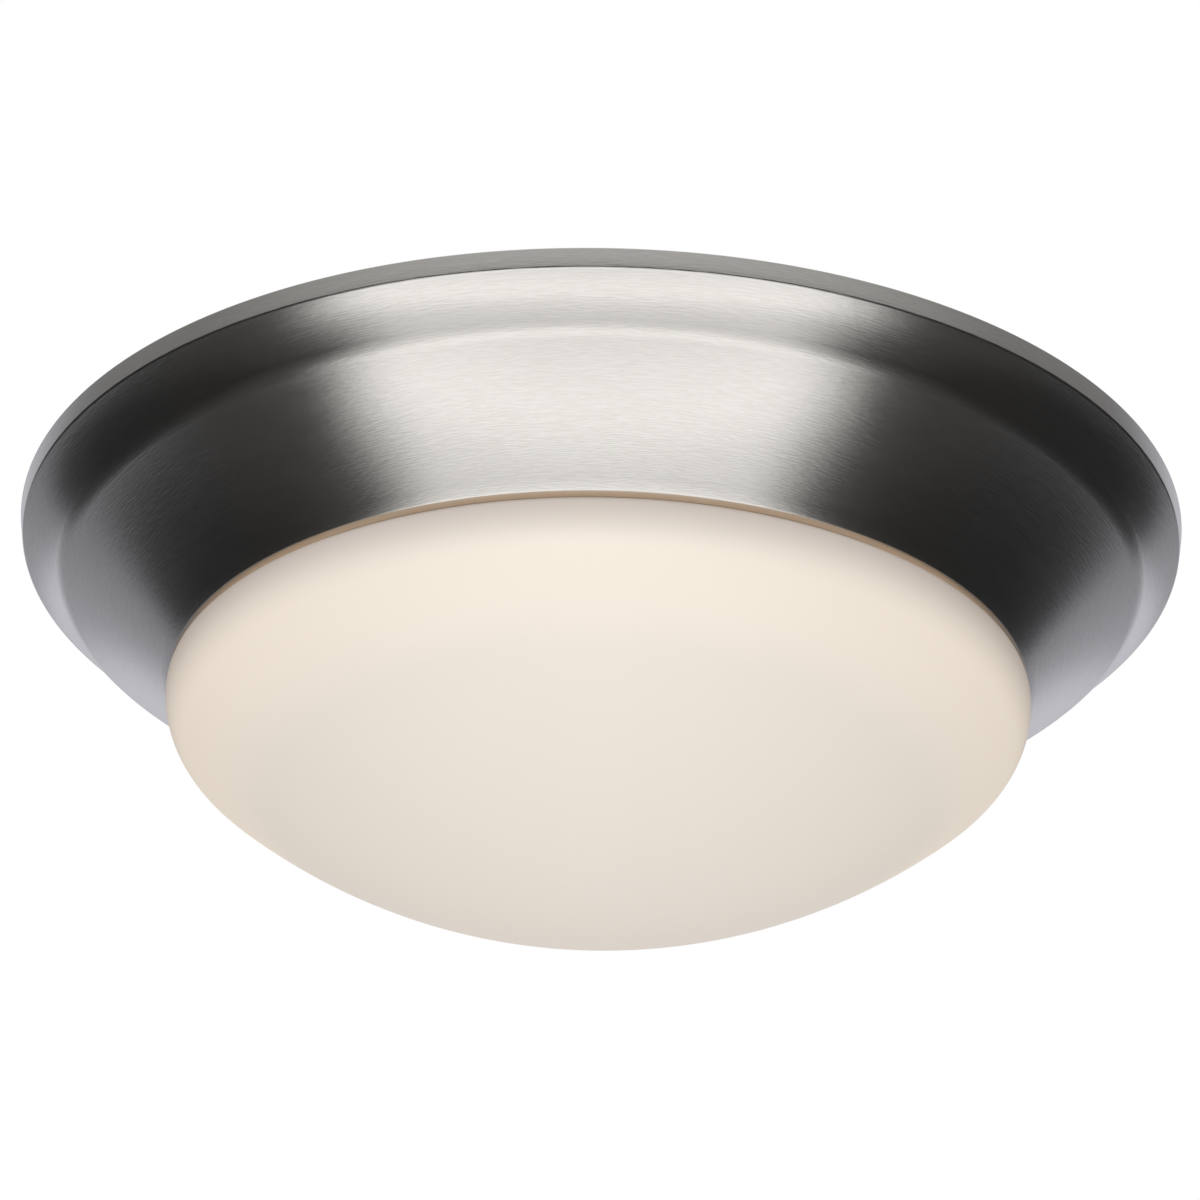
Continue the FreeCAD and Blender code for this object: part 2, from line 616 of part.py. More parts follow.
def back_plate():
    """A dished steel disc under the pan's ceiling flange, stiffened by pressed ribs."""
    plate = turned_sheet(plate_section(), PLATE_SHEET)
    plate = fused([plate] + ribs(0, RIM_BOTTOM))
    low = DISH_BOTTOM - THROUGH
    high = DISH_TOP + THROUGH
    cuts = ribs(PLATE_SHEET, RIM_TOP)
    cuts += plate_rivet_holes() + keyholes()
    cuts += around(disc(BOX_ACCESS_RADIUS, low, high, BOX_SCREW_SPACING / 2), 2)
    cuts += around(disc(DRIVER_SCREW_RADIUS, low, high, DRIVER_SCREW_X, CASE_Y), 1)
    cuts += around(disc(DRIVER_SCREW_RADIUS, low, high, -DRIVER_SCREW_X, CASE_Y), 1)
    cuts += [disc(GROUND_SCREW_RADIUS, low, high, GROUND_X, GROUND_Y)]
    cuts += tray_screw_holes(RIM_BOTTOM - THROUGH, RIM_TOP + THROUGH)
    return plate.cut(cuts)


def back_plate_rivets():
    """Flush with the ceiling flange, with a head under the plate."""
    rivet = fastener(PLATE_RIVET_CIRCLE, 0, 0, PLATE_RIVET_RADIUS, RIM_BOTTOM,
                     PLATE_RIVET_HEAD_RADIUS, PLATE_RIVET_HEAD_HEIGHT)
    return Part.Compound(around(rivet, PLATE_RIVET_COUNT, plate_rivet_angle()))


def entry_bush():
    """A plastic bush that keeps the supply wires off the edge of the plate's middle hole."""
    inner = ENTRY_HOLE_RADIUS - BUSH_WALL
    return turned([
        at(inner, DISH_BOTTOM - BUSH_WALL), at(ENTRY_HOLE_RADIUS + BUSH_LIP, DISH_BOTTOM - BUSH_WALL),
        at(ENTRY_HOLE_RADIUS + BUSH_LIP, DISH_BOTTOM), at(ENTRY_HOLE_RADIUS, DISH_BOTTOM),
        at(ENTRY_HOLE_RADIUS, DISH_TOP), at(inner, DISH_TOP),
    ])


# ================================================================ terminals and ground
def pole_x(pole):
    return TERMINAL_X + (pole - (TERMINAL_POLE_COUNT - 1) / 2) * TERMINAL_PITCH


def terminal_block():
    """A terminal block with a raised middle, screw wells, and a lead entry for each pole on both sides."""
    low = block(TERMINAL_X, TERMINAL_Y, TERMINAL_LENGTH, TERMINAL_WIDTH,
                TERMINAL_BOTTOM + TERMINAL_SHOULDER, DISH_BOTTOM)
    middle = block(TERMINAL_X, TERMINAL_Y, TERMINAL_LENGTH, TERMINAL_WIDTH - 2 * TERMINAL_SHOULDER,
                   TERMINAL_BOTTOM, DISH_BOTTOM)
    cuts = []
    for pole in range(TERMINAL_POLE_COUNT):
        for side in (-1, 1):
            face = TERMINAL_Y + side * TERMINAL_WIDTH / 2
            cuts.append(block(pole_x(pole), face, TERMINAL_ENTRY_WIDTH, 2 * TERMINAL_ENTRY_DEPTH,
                              TERMINAL_ENTRY_LEVEL - TERMINAL_ENTRY_WIDTH / 2,
                              TERMINAL_ENTRY_LEVEL + TERMINAL_ENTRY_WIDTH / 2))
        cuts.append(disc(TERMINAL_SCREW_RADIUS, TERMINAL_BOTTOM - THROUGH,
                         TERMINAL_BOTTOM + TERMINAL_SCREW_SINK + TERMINAL_SCREW_HEIGHT, pole_x(pole), TERMINAL_Y))
    return fused([low, middle]).cut(cuts)


def terminal_screws():
    """Screws that lie sunk in the wells of the terminal block."""
    bottom = TERMINAL_BOTTOM + TERMINAL_SCREW_SINK
    return Part.Compound([disc(TERMINAL_SCREW_RADIUS - FIT_GAP / 2, bottom, bottom + TERMINAL_SCREW_HEIGHT,
                               pole_x(pole), TERMINAL_Y) for pole in range(TERMINAL_POLE_COUNT)])


def ground_screw():
    return hex_screw(GROUND_X, GROUND_Y, DISH_TOP, GROUND_SCREW_RADIUS, EYE_BOTTOM,
                     GROUND_HEAD_RADIUS, GROUND_HEAD_HEIGHT)


def ground_eye():
    """The ring terminal over the ground screw, with a crimped barrel that holds the ground lead."""
    eye = disc(GROUND_HEAD_RADIUS, EYE_BOTTOM, DISH_BOTTOM, GROUND_X, GROUND_Y)
    tongue = Part.makeBox(2 * BARREL_RADIUS, BARREL_START - GROUND_Y + EYE_SHEET, EYE_SHEET,
                          Vector(GROUND_X - BARREL_RADIUS, GROUND_Y, EYE_BOTTOM))
    mouth = Vector(GROUND_X, BARREL_START, BARREL_LEVEL)
    barrel = Part.makeCylinder(BARREL_RADIUS, BARREL_LENGTH, mouth, Vector(0, 1, 0))
    bore = Part.makeCylinder(MAINS_LEAD_RADIUS, BARREL_LENGTH, mouth, Vector(0, 1, 0))
    hole = disc(GROUND_SCREW_RADIUS, EYE_BOTTOM - THROUGH, DISH_BOTTOM + THROUGH, GROUND_X, GROUND_Y)
    return fused([eye, tongue, barrel]).cut([bore, hole])


# ================================================================ the driver
def lead_exit(x):
    """The hole for a pair of leads in the long wall of the case."""
    gap = MAINS_LEAD_RADIUS + LEAD_GAP
    return block(x, CASE_FRONT, LEAD_PITCH + 2 * gap, 3 * CASE_WALL, LEAD_EXIT_LEVEL - gap, LEAD_EXIT_LEVEL + gap)


def case_posts():
    """Four posts in the corners of the case, which hold the board away from its top."""
    inset = CASE_WALL + POST_WIDTH / 2
    posts = []
    for x_side in (-1, 1):
        for y_side in (-1, 1):
            x = x_side * (CASE_LENGTH / 2 - inset)
            y = CASE_Y + y_side * (CASE_WIDTH / 2 - inset)
            posts.append(block(x, y, POST_WIDTH, POST_WIDTH, DRIVER_BOARD_TOP, CASE_TOP - CASE_WALL))
    return posts


def driver_case():
    """A box that is open at the bottom, with an ear at each end against the back plate."""
    shell = rounded_block(0, CASE_Y, CASE_LENGTH, CASE_WIDTH, CASE_BOTTOM, CASE_TOP, CASE_CORNER)
    inside = block(0, CASE_Y, CASE_LENGTH - 2 * CASE_WALL, CASE_WIDTH - 2 * CASE_WALL,
                   CASE_BOTTOM - THROUGH, CASE_TOP - CASE_WALL)
    ears = block(0, CASE_Y, CASE_LENGTH + 2 * EAR_LENGTH, EAR_WIDTH, CASE_TOP - CASE_WALL, CASE_TOP)
    holes = [disc(DRIVER_SCREW_RADIUS, CASE_TOP - CASE_WALL - THROUGH, CASE_TOP + THROUGH, x, CASE_Y)
             for x in (-DRIVER_SCREW_X, DRIVER_SCREW_X)]
    return fused([shell.cut(inside), ears] + case_posts()).cut(holes + [lead_exit(0), lead_exit(MAINS_EXIT_X)])


def driver_lid():
    """The case's cover, with a rim that locates it inside the walls."""
    lid = rounded_block(0, CASE_Y, CASE_LENGTH, CASE_WIDTH, CASE_BOTTOM - LID_SHEET, CASE_BOTTOM, CASE_CORNER)
    step = 2 * (CASE_WALL + FIT_GAP)
    rim = block(0, CASE_Y, CASE_LENGTH - step, CASE_WIDTH - step, CASE_BOTTOM, CASE_BOTTOM + LID_RIM)
    step += 2 * CASE_WALL
    hollow = block(0, CASE_Y, CASE_LENGTH - step, CASE_WIDTH - step, CASE_BOTTOM, CASE_BOTTOM + LID_RIM)
    return fused([lid, rim.cut(hollow)])


def driver_screws():
    return Part.Compound([hex_screw(x, CASE_Y, DISH_TOP, DRIVER_SCREW_RADIUS, CASE_TOP - CASE_WALL,
                                    DRIVER_SCREW_HEAD_RADIUS, DRIVER_SCREW_HEAD_HEIGHT)
                          for x in (-DRIVER_SCREW_X, DRIVER_SCREW_X)])


def driver_board():
    margin = 2 * (CASE_WALL + FIT_GAP)
    return block(0, CASE_Y, CASE_LENGTH - margin, CASE_WIDTH - margin, DRIVER_BOARD_BOTTOM, DRIVER_BOARD_TOP)


def driver_transformer():
    """A ferrite core around a wound bobbin."""
    bottom = DRIVER_BOARD_BOTTOM - TRANSFORMER_HEIGHT
    core = block(0, CASE_Y, TRANSFORMER_LENGTH, TRANSFORMER_CORE, bottom, DRIVER_BOARD_BOTTOM)
    bobbin = block(0, CASE_Y, TRANSFORMER_LENGTH - TRANSFORMER_CORE, TRANSFORMER_WIDTH,
                   bottom + TRANSFORMER_CORE / 2, DRIVER_BOARD_BOTTOM)
    return fused([core, bobbin])


def driver_capacitors():
    """Two cans beside the transformer."""
    outer = CASE_LENGTH / 2 - CAPACITOR_END_GAP - CAPACITOR_RADIUS
    pitch = 2 * CAPACITOR_RADIUS + CAPACITOR_GAP
    return Part.Compound([disc(CAPACITOR_RADIUS, DRIVER_BOARD_BOTTOM - CAPACITOR_HEIGHT, DRIVER_BOARD_BOTTOM,
                               outer - index * pitch, CASE_Y) for index in range(2)])


# ================================================================ the LED tray
def tray_section():
    """The tray's lower skin, from the edge of its flange in over the wall to the middle of its floor."""
    flange_inner = at(TRAY_WALL_RADIUS, TRAY_FLANGE_BOTTOM)
    floor_edge = at(TRAY_FLOOR_RADIUS, TRAY_FLOOR_BOTTOM)
    return Part.Wire([
        line(at(TRAY_FLANGE_RADIUS, TRAY_FLANGE_BOTTOM), flange_inner),
        line(flange_inner, floor_edge),
        line(floor_edge, at(0, TRAY_FLOOR_BOTTOM)),
    ])


def tray_screw_holes(low, high):
    return around(disc(TRAY_SCREW_RADIUS, low, high, TRAY_SCREW_CIRCLE), TRAY_SCREW_COUNT, 180.0 / TRAY_SCREW_COUNT)


def board_screw_holes():
    hole = disc(BOARD_SCREW_RADIUS, BOARD_BOTTOM - THROUGH, TRAY_FLOOR_TOP + THROUGH, BOARD_SCREW_CIRCLE)
    return around(hole, BOARD_SCREW_COUNT, 180.0 / BOARD_SCREW_COUNT)


def feed_hole(radius):
    return disc(radius, BOARD_BOTTOM - THROUGH, TRAY_FLOOR_TOP + THROUGH, 0, FEED_Y)


def led_tray():
    """A white inverted dish that covers the driver and carries the LED board."""
    tray = turned_sheet(tray_section(), TRAY_SHEET)
    cuts = tray_screw_holes(TRAY_FLANGE_BOTTOM - THROUGH, RIM_BOTTOM + THROUGH)
    return tray.cut(cuts + board_screw_holes() + [feed_hole(FEED_HOLE_RADIUS)])


def tray_screws():
    screw = hex_screw(TRAY_SCREW_CIRCLE, 0, RIM_TOP, TRAY_SCREW_RADIUS, TRAY_FLANGE_BOTTOM,
                      TRAY_SCREW_HEAD_RADIUS, TRAY_SCREW_HEAD_HEIGHT)
    return Part.Compound(around(screw, TRAY_SCREW_COUNT, 180.0 / TRAY_SCREW_COUNT))


def thermal_pad():
    pad = disc(PAD_RADIUS, PAD_BOTTOM, TRAY_FLOOR_BOTTOM)
    return pad.cut(feed_hole(FEED_HOLE_RADIUS + GROMMET_LIP))


def led_board():
    """A round metal-cored circuit board on the tray's floor, with the pad between them."""
    board = disc(BOARD_RADIUS, BOARD_BOTTOM, PAD_BOTTOM)
    return board.cut(board_screw_holes() + [feed_hole(FEED_HOLE_RADIUS - GROMMET_WALL)])


def led_chips():
    """Light-emitting packages in rings on the underside of the board."""
    chips = []
    for ring in range(CHIP_RING_COUNT):
        radius = CHIP_FIRST_RING + ring * CHIP_RING_PITCH
        count = CHIP_FIRST_COUNT + ring * CHIP_COUNT_STEP
        chip = block(radius, 0, CHIP_WIDTH, CHIP_LENGTH, BOARD_BOTTOM - CHIP_HEIGHT, BOARD_BOTTOM)
        chips += around(chip, count, 180.0 / count)
    return Part.Compound(chips)


def board_screws():
    screw = hex_screw(BOARD_SCREW_CIRCLE, 0, TRAY_FLOOR_TOP, BOARD_SCREW_RADIUS, BOARD_BOTTOM,
                      BOARD_SCREW_HEAD_RADIUS, BOARD_SCREW_HEAD_HEIGHT)
    return Part.Compound(around(screw, BOARD_SCREW_COUNT, 180.0 / BOARD_SCREW_COUNT))


def board_connector():
    """The plug-in connector on the board, with one mouth for the two leads."""
    y = CONNECTOR_FRONT + CONNECTOR_LENGTH / 2
    body = block(0, y, CONNECTOR_WIDTH, CONNECTOR_LENGTH, BOARD_BOTTOM - CONNECTOR_HEIGHT, BOARD_BOTTOM)
    gap = LED_LEAD_RADIUS + LEAD_GAP
    mouth = block(0, CONNECTOR_FRONT, LEAD_PITCH + 2 * gap, 2 * CONNECTOR_MOUTH,
                  CONNECTOR_LEVEL - gap, CONNECTOR_LEVEL + gap)
    return body.cut(mouth)


def feed_grommet():
    """A rubber grommet in the tray's floor, around the two leads of the board."""
    outer = FEED_HOLE_RADIUS
    inner = outer - GROMMET_WALL
    ring = turned([
        at(inner, PAD_BOTTOM), at(outer, PAD_BOTTOM),
        at(outer, TRAY_FLOOR_TOP), at(outer + GROMMET_LIP, TRAY_FLOOR_TOP),
        at(outer + GROMMET_LIP, TRAY_FLOOR_TOP + GROMMET_WALL), at(inner, TRAY_FLOOR_TOP + GROMMET_WALL),
    ])
    ring.translate(Vector(0, FEED_Y, 0))
    return ring


# ================================================================ the leads
def mains_route(side, pole):
    """From the long wall of the case across to a pole of the terminal block."""
    x = MAINS_EXIT_X + side * LEAD_PITCH / 2
    return [
        Vector(x, CASE_FRONT - 2 * CASE_WALL, LEAD_EXIT_LEVEL),
        Vector(x, CASE_FRONT + MAINS_EXIT_RUN, LEAD_EXIT_LEVEL),
        Vector(pole_x(pole), TERMINAL_FRONT - MAINS_ENTRY_RUN, TERMINAL_ENTRY_LEVEL),
        Vector(pole_x(pole), TERMINAL_FRONT + TERMINAL_ENTRY_DEPTH - LEAD_GAP, TERMINAL_ENTRY_LEVEL),
    ]


def ground_route():
    """From the crimped barrel of the ring terminal to the first pole of the terminal block."""
    return [
        Vector(GROUND_X, BARREL_START + EYE_SHEET, BARREL_LEVEL),
        Vector(GROUND_X, BARREL_START + BARREL_LENGTH + GROUND_RUN / 2, BARREL_LEVEL),
        Vector(pole_x(0), TERMINAL_FRONT - GROUND_RUN / 2, TERMINAL_ENTRY_LEVEL),
        Vector(pole_x(0), TERMINAL_FRONT + TERMINAL_ENTRY_DEPTH - LEAD_GAP, TERMINAL_ENTRY_LEVEL),
    ]


def led_route(side):
    """From the long wall of the case, down through the tray's grommet and into the connector."""
    x = side * LEAD_PITCH / 2
    return [
        Vector(x, CASE_FRONT - 2 * CASE_WALL, LEAD_EXIT_LEVEL),
        Vector(x, FEED_Y, LEAD_EXIT_LEVEL),
        Vector(x, FEED_Y, CONNECTOR_LEVEL),
        Vector(x, CONNECTOR_FRONT + CONNECTOR_MOUTH - LEAD_GAP, CONNECTOR_LEVEL),
    ]


LEADS = {
    "live_lead": (mains_route(1, 2), MAINS_LEAD_RADIUS),
    "neutral_lead": (mains_route(-1, 1), MAINS_LEAD_RADIUS),
    "ground_lead": (ground_route(), MAINS_LEAD_RADIUS),
    "led_lead_plus": (led_route(1), LED_LEAD_RADIUS),
    "led_lead_minus": (led_route(-1), LED_LEAD_RADIUS),
}

PIECES = [
    trim_pan, lock_ring, dust_seal, glass_diffuser,
    crossbar, fixture_screws, back_plate, back_plate_rivets, entry_bush,
    terminal_block, terminal_screws, ground_screw, ground_eye,
    driver_case, driver_lid, driver_screws, driver_board, driver_transformer, driver_capacitors,
    led_tray, tray_screws, thermal_pad, led_board, led_chips, board_screws, board_connector, feed_grommet,
]


def write_node(name, shape):
    shape.exportStep("parts/%s.step" % name)
    print("%-19s solids %2d  volume %9.1f mm3  valid %s"
          % (name, len(shape.Solids), shape.Volume, shape.isValid()))


def main():
    os.makedirs("parts", exist_ok=True)
    for piece in PIECES:
        write_node(piece.__name__, piece())
    section_share = LEAD_SIDE_COUNT / 2 * math.sin(2 * math.pi / LEAD_SIDE_COUNT)
    for name, (route, radius) in LEADS.items():
        shape = lead(route, radius)
        write_node(name, shape)
        expected = section_share * radius ** 2 * lead_path(route).Length
        radii = ", ".join("%.1f" % bend for bend in bend_radii(route))
        print("    bends %s mm, volume %.4f of section times length" % (radii, shape.Volume / expected))
    print("twist from locked to free: %.1f degrees" % TWIST_ANGLE)


main()
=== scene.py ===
# %% [markdown]
# # A flush mount ceiling light with a spun pan and a glass bowl
#
# The light is a steel disc that was spun into two hollow tiers on a lathe, brushed and nickel
# plated, with a frosted glass bowl that twists into its mouth. Everything is round about one
# upright axis, so most of this lesson is about turning outlines and about placing small things
# evenly on circles. The frame that is loaded here holds the solid parts at their real sizes, and
# the pieces made below take their places.

# %% Load the frame
import bpy
import json
import math
from mathutils import Matrix, Vector


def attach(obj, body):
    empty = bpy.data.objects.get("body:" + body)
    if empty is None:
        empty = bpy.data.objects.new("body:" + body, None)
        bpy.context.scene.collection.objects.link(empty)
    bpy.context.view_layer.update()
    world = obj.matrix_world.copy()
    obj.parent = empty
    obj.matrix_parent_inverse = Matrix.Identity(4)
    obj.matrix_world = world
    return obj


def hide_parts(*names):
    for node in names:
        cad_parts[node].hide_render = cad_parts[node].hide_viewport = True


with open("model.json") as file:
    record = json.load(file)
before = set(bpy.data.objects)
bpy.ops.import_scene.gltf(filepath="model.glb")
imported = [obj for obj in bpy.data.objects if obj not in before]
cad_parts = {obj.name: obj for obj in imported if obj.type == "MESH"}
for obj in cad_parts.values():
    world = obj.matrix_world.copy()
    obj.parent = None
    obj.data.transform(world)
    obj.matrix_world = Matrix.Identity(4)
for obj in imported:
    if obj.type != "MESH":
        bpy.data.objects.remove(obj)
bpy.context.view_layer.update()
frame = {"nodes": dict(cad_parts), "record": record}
MM = 0.001
print("sub-parts:", len(frame["nodes"]))

# %% [markdown]
# ## Writing shader maths as Python
#
# A finish is worked out by small nodes that add, multiply and compare numbers all over a surface.
# Wired by hand they are hard to read. The class below holds one socket and turns Python's own
# operators into Math nodes, so that `1 - mask` or `lines * 0.2` builds the nodes for us.

# %% A socket that understands arithmetic
class Wire:
    """One output socket of a shader, with operators that add Math nodes behind it."""

    def __init__(self, finish, socket):
        self.finish = finish
        self.socket = socket

    def maths(self, operation, *others):
        values = dict(enumerate((self,) + others))
        return self.finish.node("ShaderNodeMath", {"operation": operation}, values)

    def __add__(self, other): return self.maths("ADD", other)
    def __sub__(self, other): return self.maths("SUBTRACT", other)
    def __mul__(self, other): return self.maths("MULTIPLY", other)
    def __truediv__(self, other): return self.maths("DIVIDE", other)
    def __radd__(self, other): return self + other
    def __rsub__(self, other): return (self * -1) + other
    def __pow__(self, other): return self.maths("POWER", other)

    def between(self, low, high):
        """0 below low, 1 above high, and a smooth rise from one to the other."""
        settings = {"interpolation_type": "SMOOTHSTEP"}
        values = {"Value": self, "From Min": low, "From Max": high}
        return self.finish.node("ShaderNodeMapRange", settings, values)

# %% [markdown]
# A finish is one material. Its `node` method makes any node at all: first the settings, because
# they can change which sockets the node has, then the values or links of its sockets. It gives
# back the node's first live output as a `Wire`.

# %% A finish is a material that builds its own nodes
class Finish:
    """A material with a Principled shader, and short ways to feed it."""

    def __init__(self, name, **constants):
        self.material = bpy.data.materials.new(name)
        self.material.use_nodes = True
        self.tree = self.material.node_tree
        self.shader = self.tree.nodes["Principled BSDF"]
        for socket, value in constants.items():
            self.feed(self.shader.inputs[socket.replace("_", " ")], value)

    def feed(self, socket, value):
        if isinstance(value, Wire):
            self.tree.links.new(value.socket, socket)
        elif isinstance(value, tuple) and socket.type == "RGBA":
            socket.default_value = value + (1.0,)
        else:
            socket.default_value = value

    def node(self, kind, settings=None, values=None, output=0):
        node = self.tree.nodes.new(kind)
        for name, setting in (settings or {}).items():
            setattr(node, name, setting)
        for key, value in (values or {}).items():
            self.feed(node.inputs[key], value)
        live = [socket for socket in node.outputs if socket.enabled]
        return Wire(self, node.outputs[output] if isinstance(output, str) else live[output])

    def set(self, socket, value):
        self.feed(self.shader.inputs[socket], value)

    def place(self):
        return self.node("ShaderNodeTexCoord", output="Object")

    def parts(self, vector):
        node = self.node("ShaderNodeSeparateXYZ", values={0: vector}).socket.node
        return [Wire(self, socket) for socket in node.outputs]

    def upright(self):
        """The height of a point of the surface, and its distance from the Z axis."""
        x, y, z = self.parts(self.place())
        return z, (x * x + y * y) ** 0.5

    def point(self, x, y, z):
        return self.node("ShaderNodeCombineXYZ", values={0: x, 1: y, 2: z})

    def noise(self, vector, scale, detail=2.0, roughness=0.5):
        values = {"Vector": vector, "Scale": scale, "Detail": detail, "Roughness": roughness}
        return self.node("ShaderNodeTexNoise", values=values, output="Fac")

    def mix(self, share, first, second):
        values = {0: share, 6: first, 7: second}
        return self.node("ShaderNodeMix", {"data_type": "RGBA"}, values)

    def bump(self, height, distance, strength=1.0):
        values = {"Height": height, "Distance": distance, "Strength": strength}
        self.set("Normal", self.node("ShaderNodeBump", values=values))

print("a finish has the methods node, mix, noise and bump")

# %% [markdown]
# ## Brushed nickel
#
# The pan is brushed while it spins, so the scratches run around the axis and never across it.
# Noise gives them when it is read in turned coordinates: finely along the radius and the height,
# and very coarsely along the angle. The scratches move the roughness and the colour a little, and
# tip the surface through a Bump node, which is what smears a reflection across the grain.

# %% The grain of a brushed, spun surface
HAIRS_PER_METRE = 2000.0
STREAKS_PER_METRE = 210.0
LIP_HEIGHT = (-0.05412, -0.05428)
LIP_REACH = (0.1325, 0.1322)
# The lip's warm colour is a painted reflection of the glowing glass below it.
LIP_REFLECTED_GLOW = (0.70, 0.61, 0.52)


def spun_grain(finish, fineness, length, detail=2.0):
    """Noise that is stretched around the Z axis, from 0 to 1."""
    x, y, z = finish.parts(finish.place())
    height, radius = finish.upright()
    angle = y.maths("ARCTAN2", x)
    steep = (radius + height) * fineness
    shallow = (radius - height) * fineness * 0.3
    along = finish.point(angle * length, steep, shallow)
    return finish.noise(along, 1.0, detail=detail, roughness=0.6)


def brushed_nickel():
    """Brushed all over but for the rolled lip, which is rougher and has a painted reflection of the
    warm glass in its colour.
    """
    finish = Finish("brushed_nickel", Metallic=1.0, Anisotropic=0.45, Anisotropic_Rotation=0.25)
    hair = spun_grain(finish, HAIRS_PER_METRE, 34.0, detail=1.0)
    broad = spun_grain(finish, STREAKS_PER_METRE, 7.0)
    tone = hair * 0.8 + broad * 0.2
    height, radius = finish.upright()
    lip = height.between(*LIP_HEIGHT) * radius.between(*LIP_REACH)
    brushed = finish.mix(tone.between(0.3, 0.7), (0.785, 0.77, 0.745), (0.845, 0.83, 0.81))
    # Painted reflection: the lip takes a warm tint that stands for the glass it mirrors.
    finish.set("Base Color", finish.mix(lip, brushed, LIP_REFLECTED_GLOW))
    finish.set("Roughness", broad * 0.04 + 0.19 + lip * 0.22)
    finish.bump(hair, 0.00008, 0.38)
    return finish.material


NICKEL = brushed_nickel()
print("finish:", NICKEL.name)

# %% [markdown]
# ## Frosted glass with the light on
#
# White frosted glass scatters light, so it looks like a soft white solid with a faint sheen. The
# lit board above it makes it glow: strongly below the shoulder, a little less at the bottom, and
# hardly at all in the strip right under the lip, where the metal keeps the light off. The neck
# stands beside the board inside the mouth, so it glows too.

# %% Glass that glows from within
BOTTOM_GLOW = (0.300, 0.240, 0.170)
BOWL_GLOW = (0.358, 0.283, 0.186)
UNDER_LIP_GLOW = (0.120, 0.070, 0.028)
NECK_GLOW = (0.37, 0.295, 0.225)


def frosted_glass():
    finish = Finish("frosted_glass", Roughness=0.45)
    height, radius = finish.upright()
    cloud = finish.noise(finish.place(), 11.0, detail=1.0)
    shoulder = height.between(-0.0570, -0.0720)
    near_board = height.between(-0.0940, -0.0780)
    neck = height.between(-0.0569, -0.0564)
    skin = finish.mix(radius.between(0.02, 0.11), (0.80, 0.78, 0.765), (0.82, 0.80, 0.79))
    finish.set("Base Color", skin)
    inner_glow = finish.mix(near_board, BOTTOM_GLOW, BOWL_GLOW)
    lit = finish.mix(shoulder * (cloud * 0.12 + 0.94), UNDER_LIP_GLOW, inner_glow)
    finish.set("Emission Color", finish.mix(neck, lit, NECK_GLOW))
    finish.set("Emission Strength", 1.0)
    fine = finish.noise(finish.place(), 5200.0)
    finish.bump(fine, 0.00002, 0.2)
    return finish.material


GLASS = frosted_glass()
print("finish:", GLASS.name)

# %% [markdown]
# ## Plain finishes for the hidden parts
#
# Each of the other finishes is a colour that drifts a little, a roughness that drifts with it and
# a fine bump. One function makes them all from a few numbers, and the few finishes with a pattern
# of their own, such as zinc spangle or circuit board, get theirs further on.

# %% One recipe for plain finishes
CHIP_RINGS = ((30.0, 8), (54.0, 14), (78.0, 20))


def plain_finish(name, dark, light, roughness, metallic=0.0, scale=900.0, coat=0.0):
    finish = Finish(name, Metallic=metallic, Coat_Weight=coat)
    fine = finish.noise(finish.place(), scale, detail=3.0)
    drift = finish.noise(finish.place(), scale * 0.06)
    tone = fine * 0.5 + drift * 0.5
    finish.set("Base Color", finish.mix(tone, dark, light))
    finish.set("Roughness", tone * 0.16 + (roughness - 0.08))
    finish.bump(fine, 0.00002, 0.4)
    return finish.material


def galvanised_sheet():
    """Zinc crystals: flat patches of slightly different greys."""
    finish = Finish("galvanised_sheet", Metallic=1.0)
    values = {"Vector": finish.place(), "Scale": 210.0}
    crystal = finish.node("ShaderNodeTexVoronoi", values=values, output="Color")
    shade = finish.parts(crystal)[0]
    finish.set("Base Color", finish.mix(shade, (0.50, 0.52, 0.54), (0.70, 0.71, 0.72)))
    finish.set("Roughness", shade * 0.16 + 0.32)
    finish.bump(shade, 0.00001, 0.3)
    return finish.material


def led_circuit():
    """White solder mask, with the copper rings that feed the chips showing faintly through it."""
    finish = Finish("led_circuit", Coat_Weight=0.3)
    height, radius = finish.upright()
    copper = 0
    for ring, count in CHIP_RINGS:
        copper = copper + (radius - ring * MM).maths("ABSOLUTE").between(0.0030, 0.0027)
    fine = finish.noise(finish.place(), 900.0)
    mask = finish.mix(fine, (0.87, 0.87, 0.86), (0.91, 0.91, 0.90))
    finish.set("Base Color", finish.mix(copper, mask, (0.80, 0.81, 0.78)))
    finish.set("Roughness", fine * 0.10 + 0.28)
    finish.bump(copper * 0.8 + fine * 0.2, 0.00008, 0.6)
    return finish.material


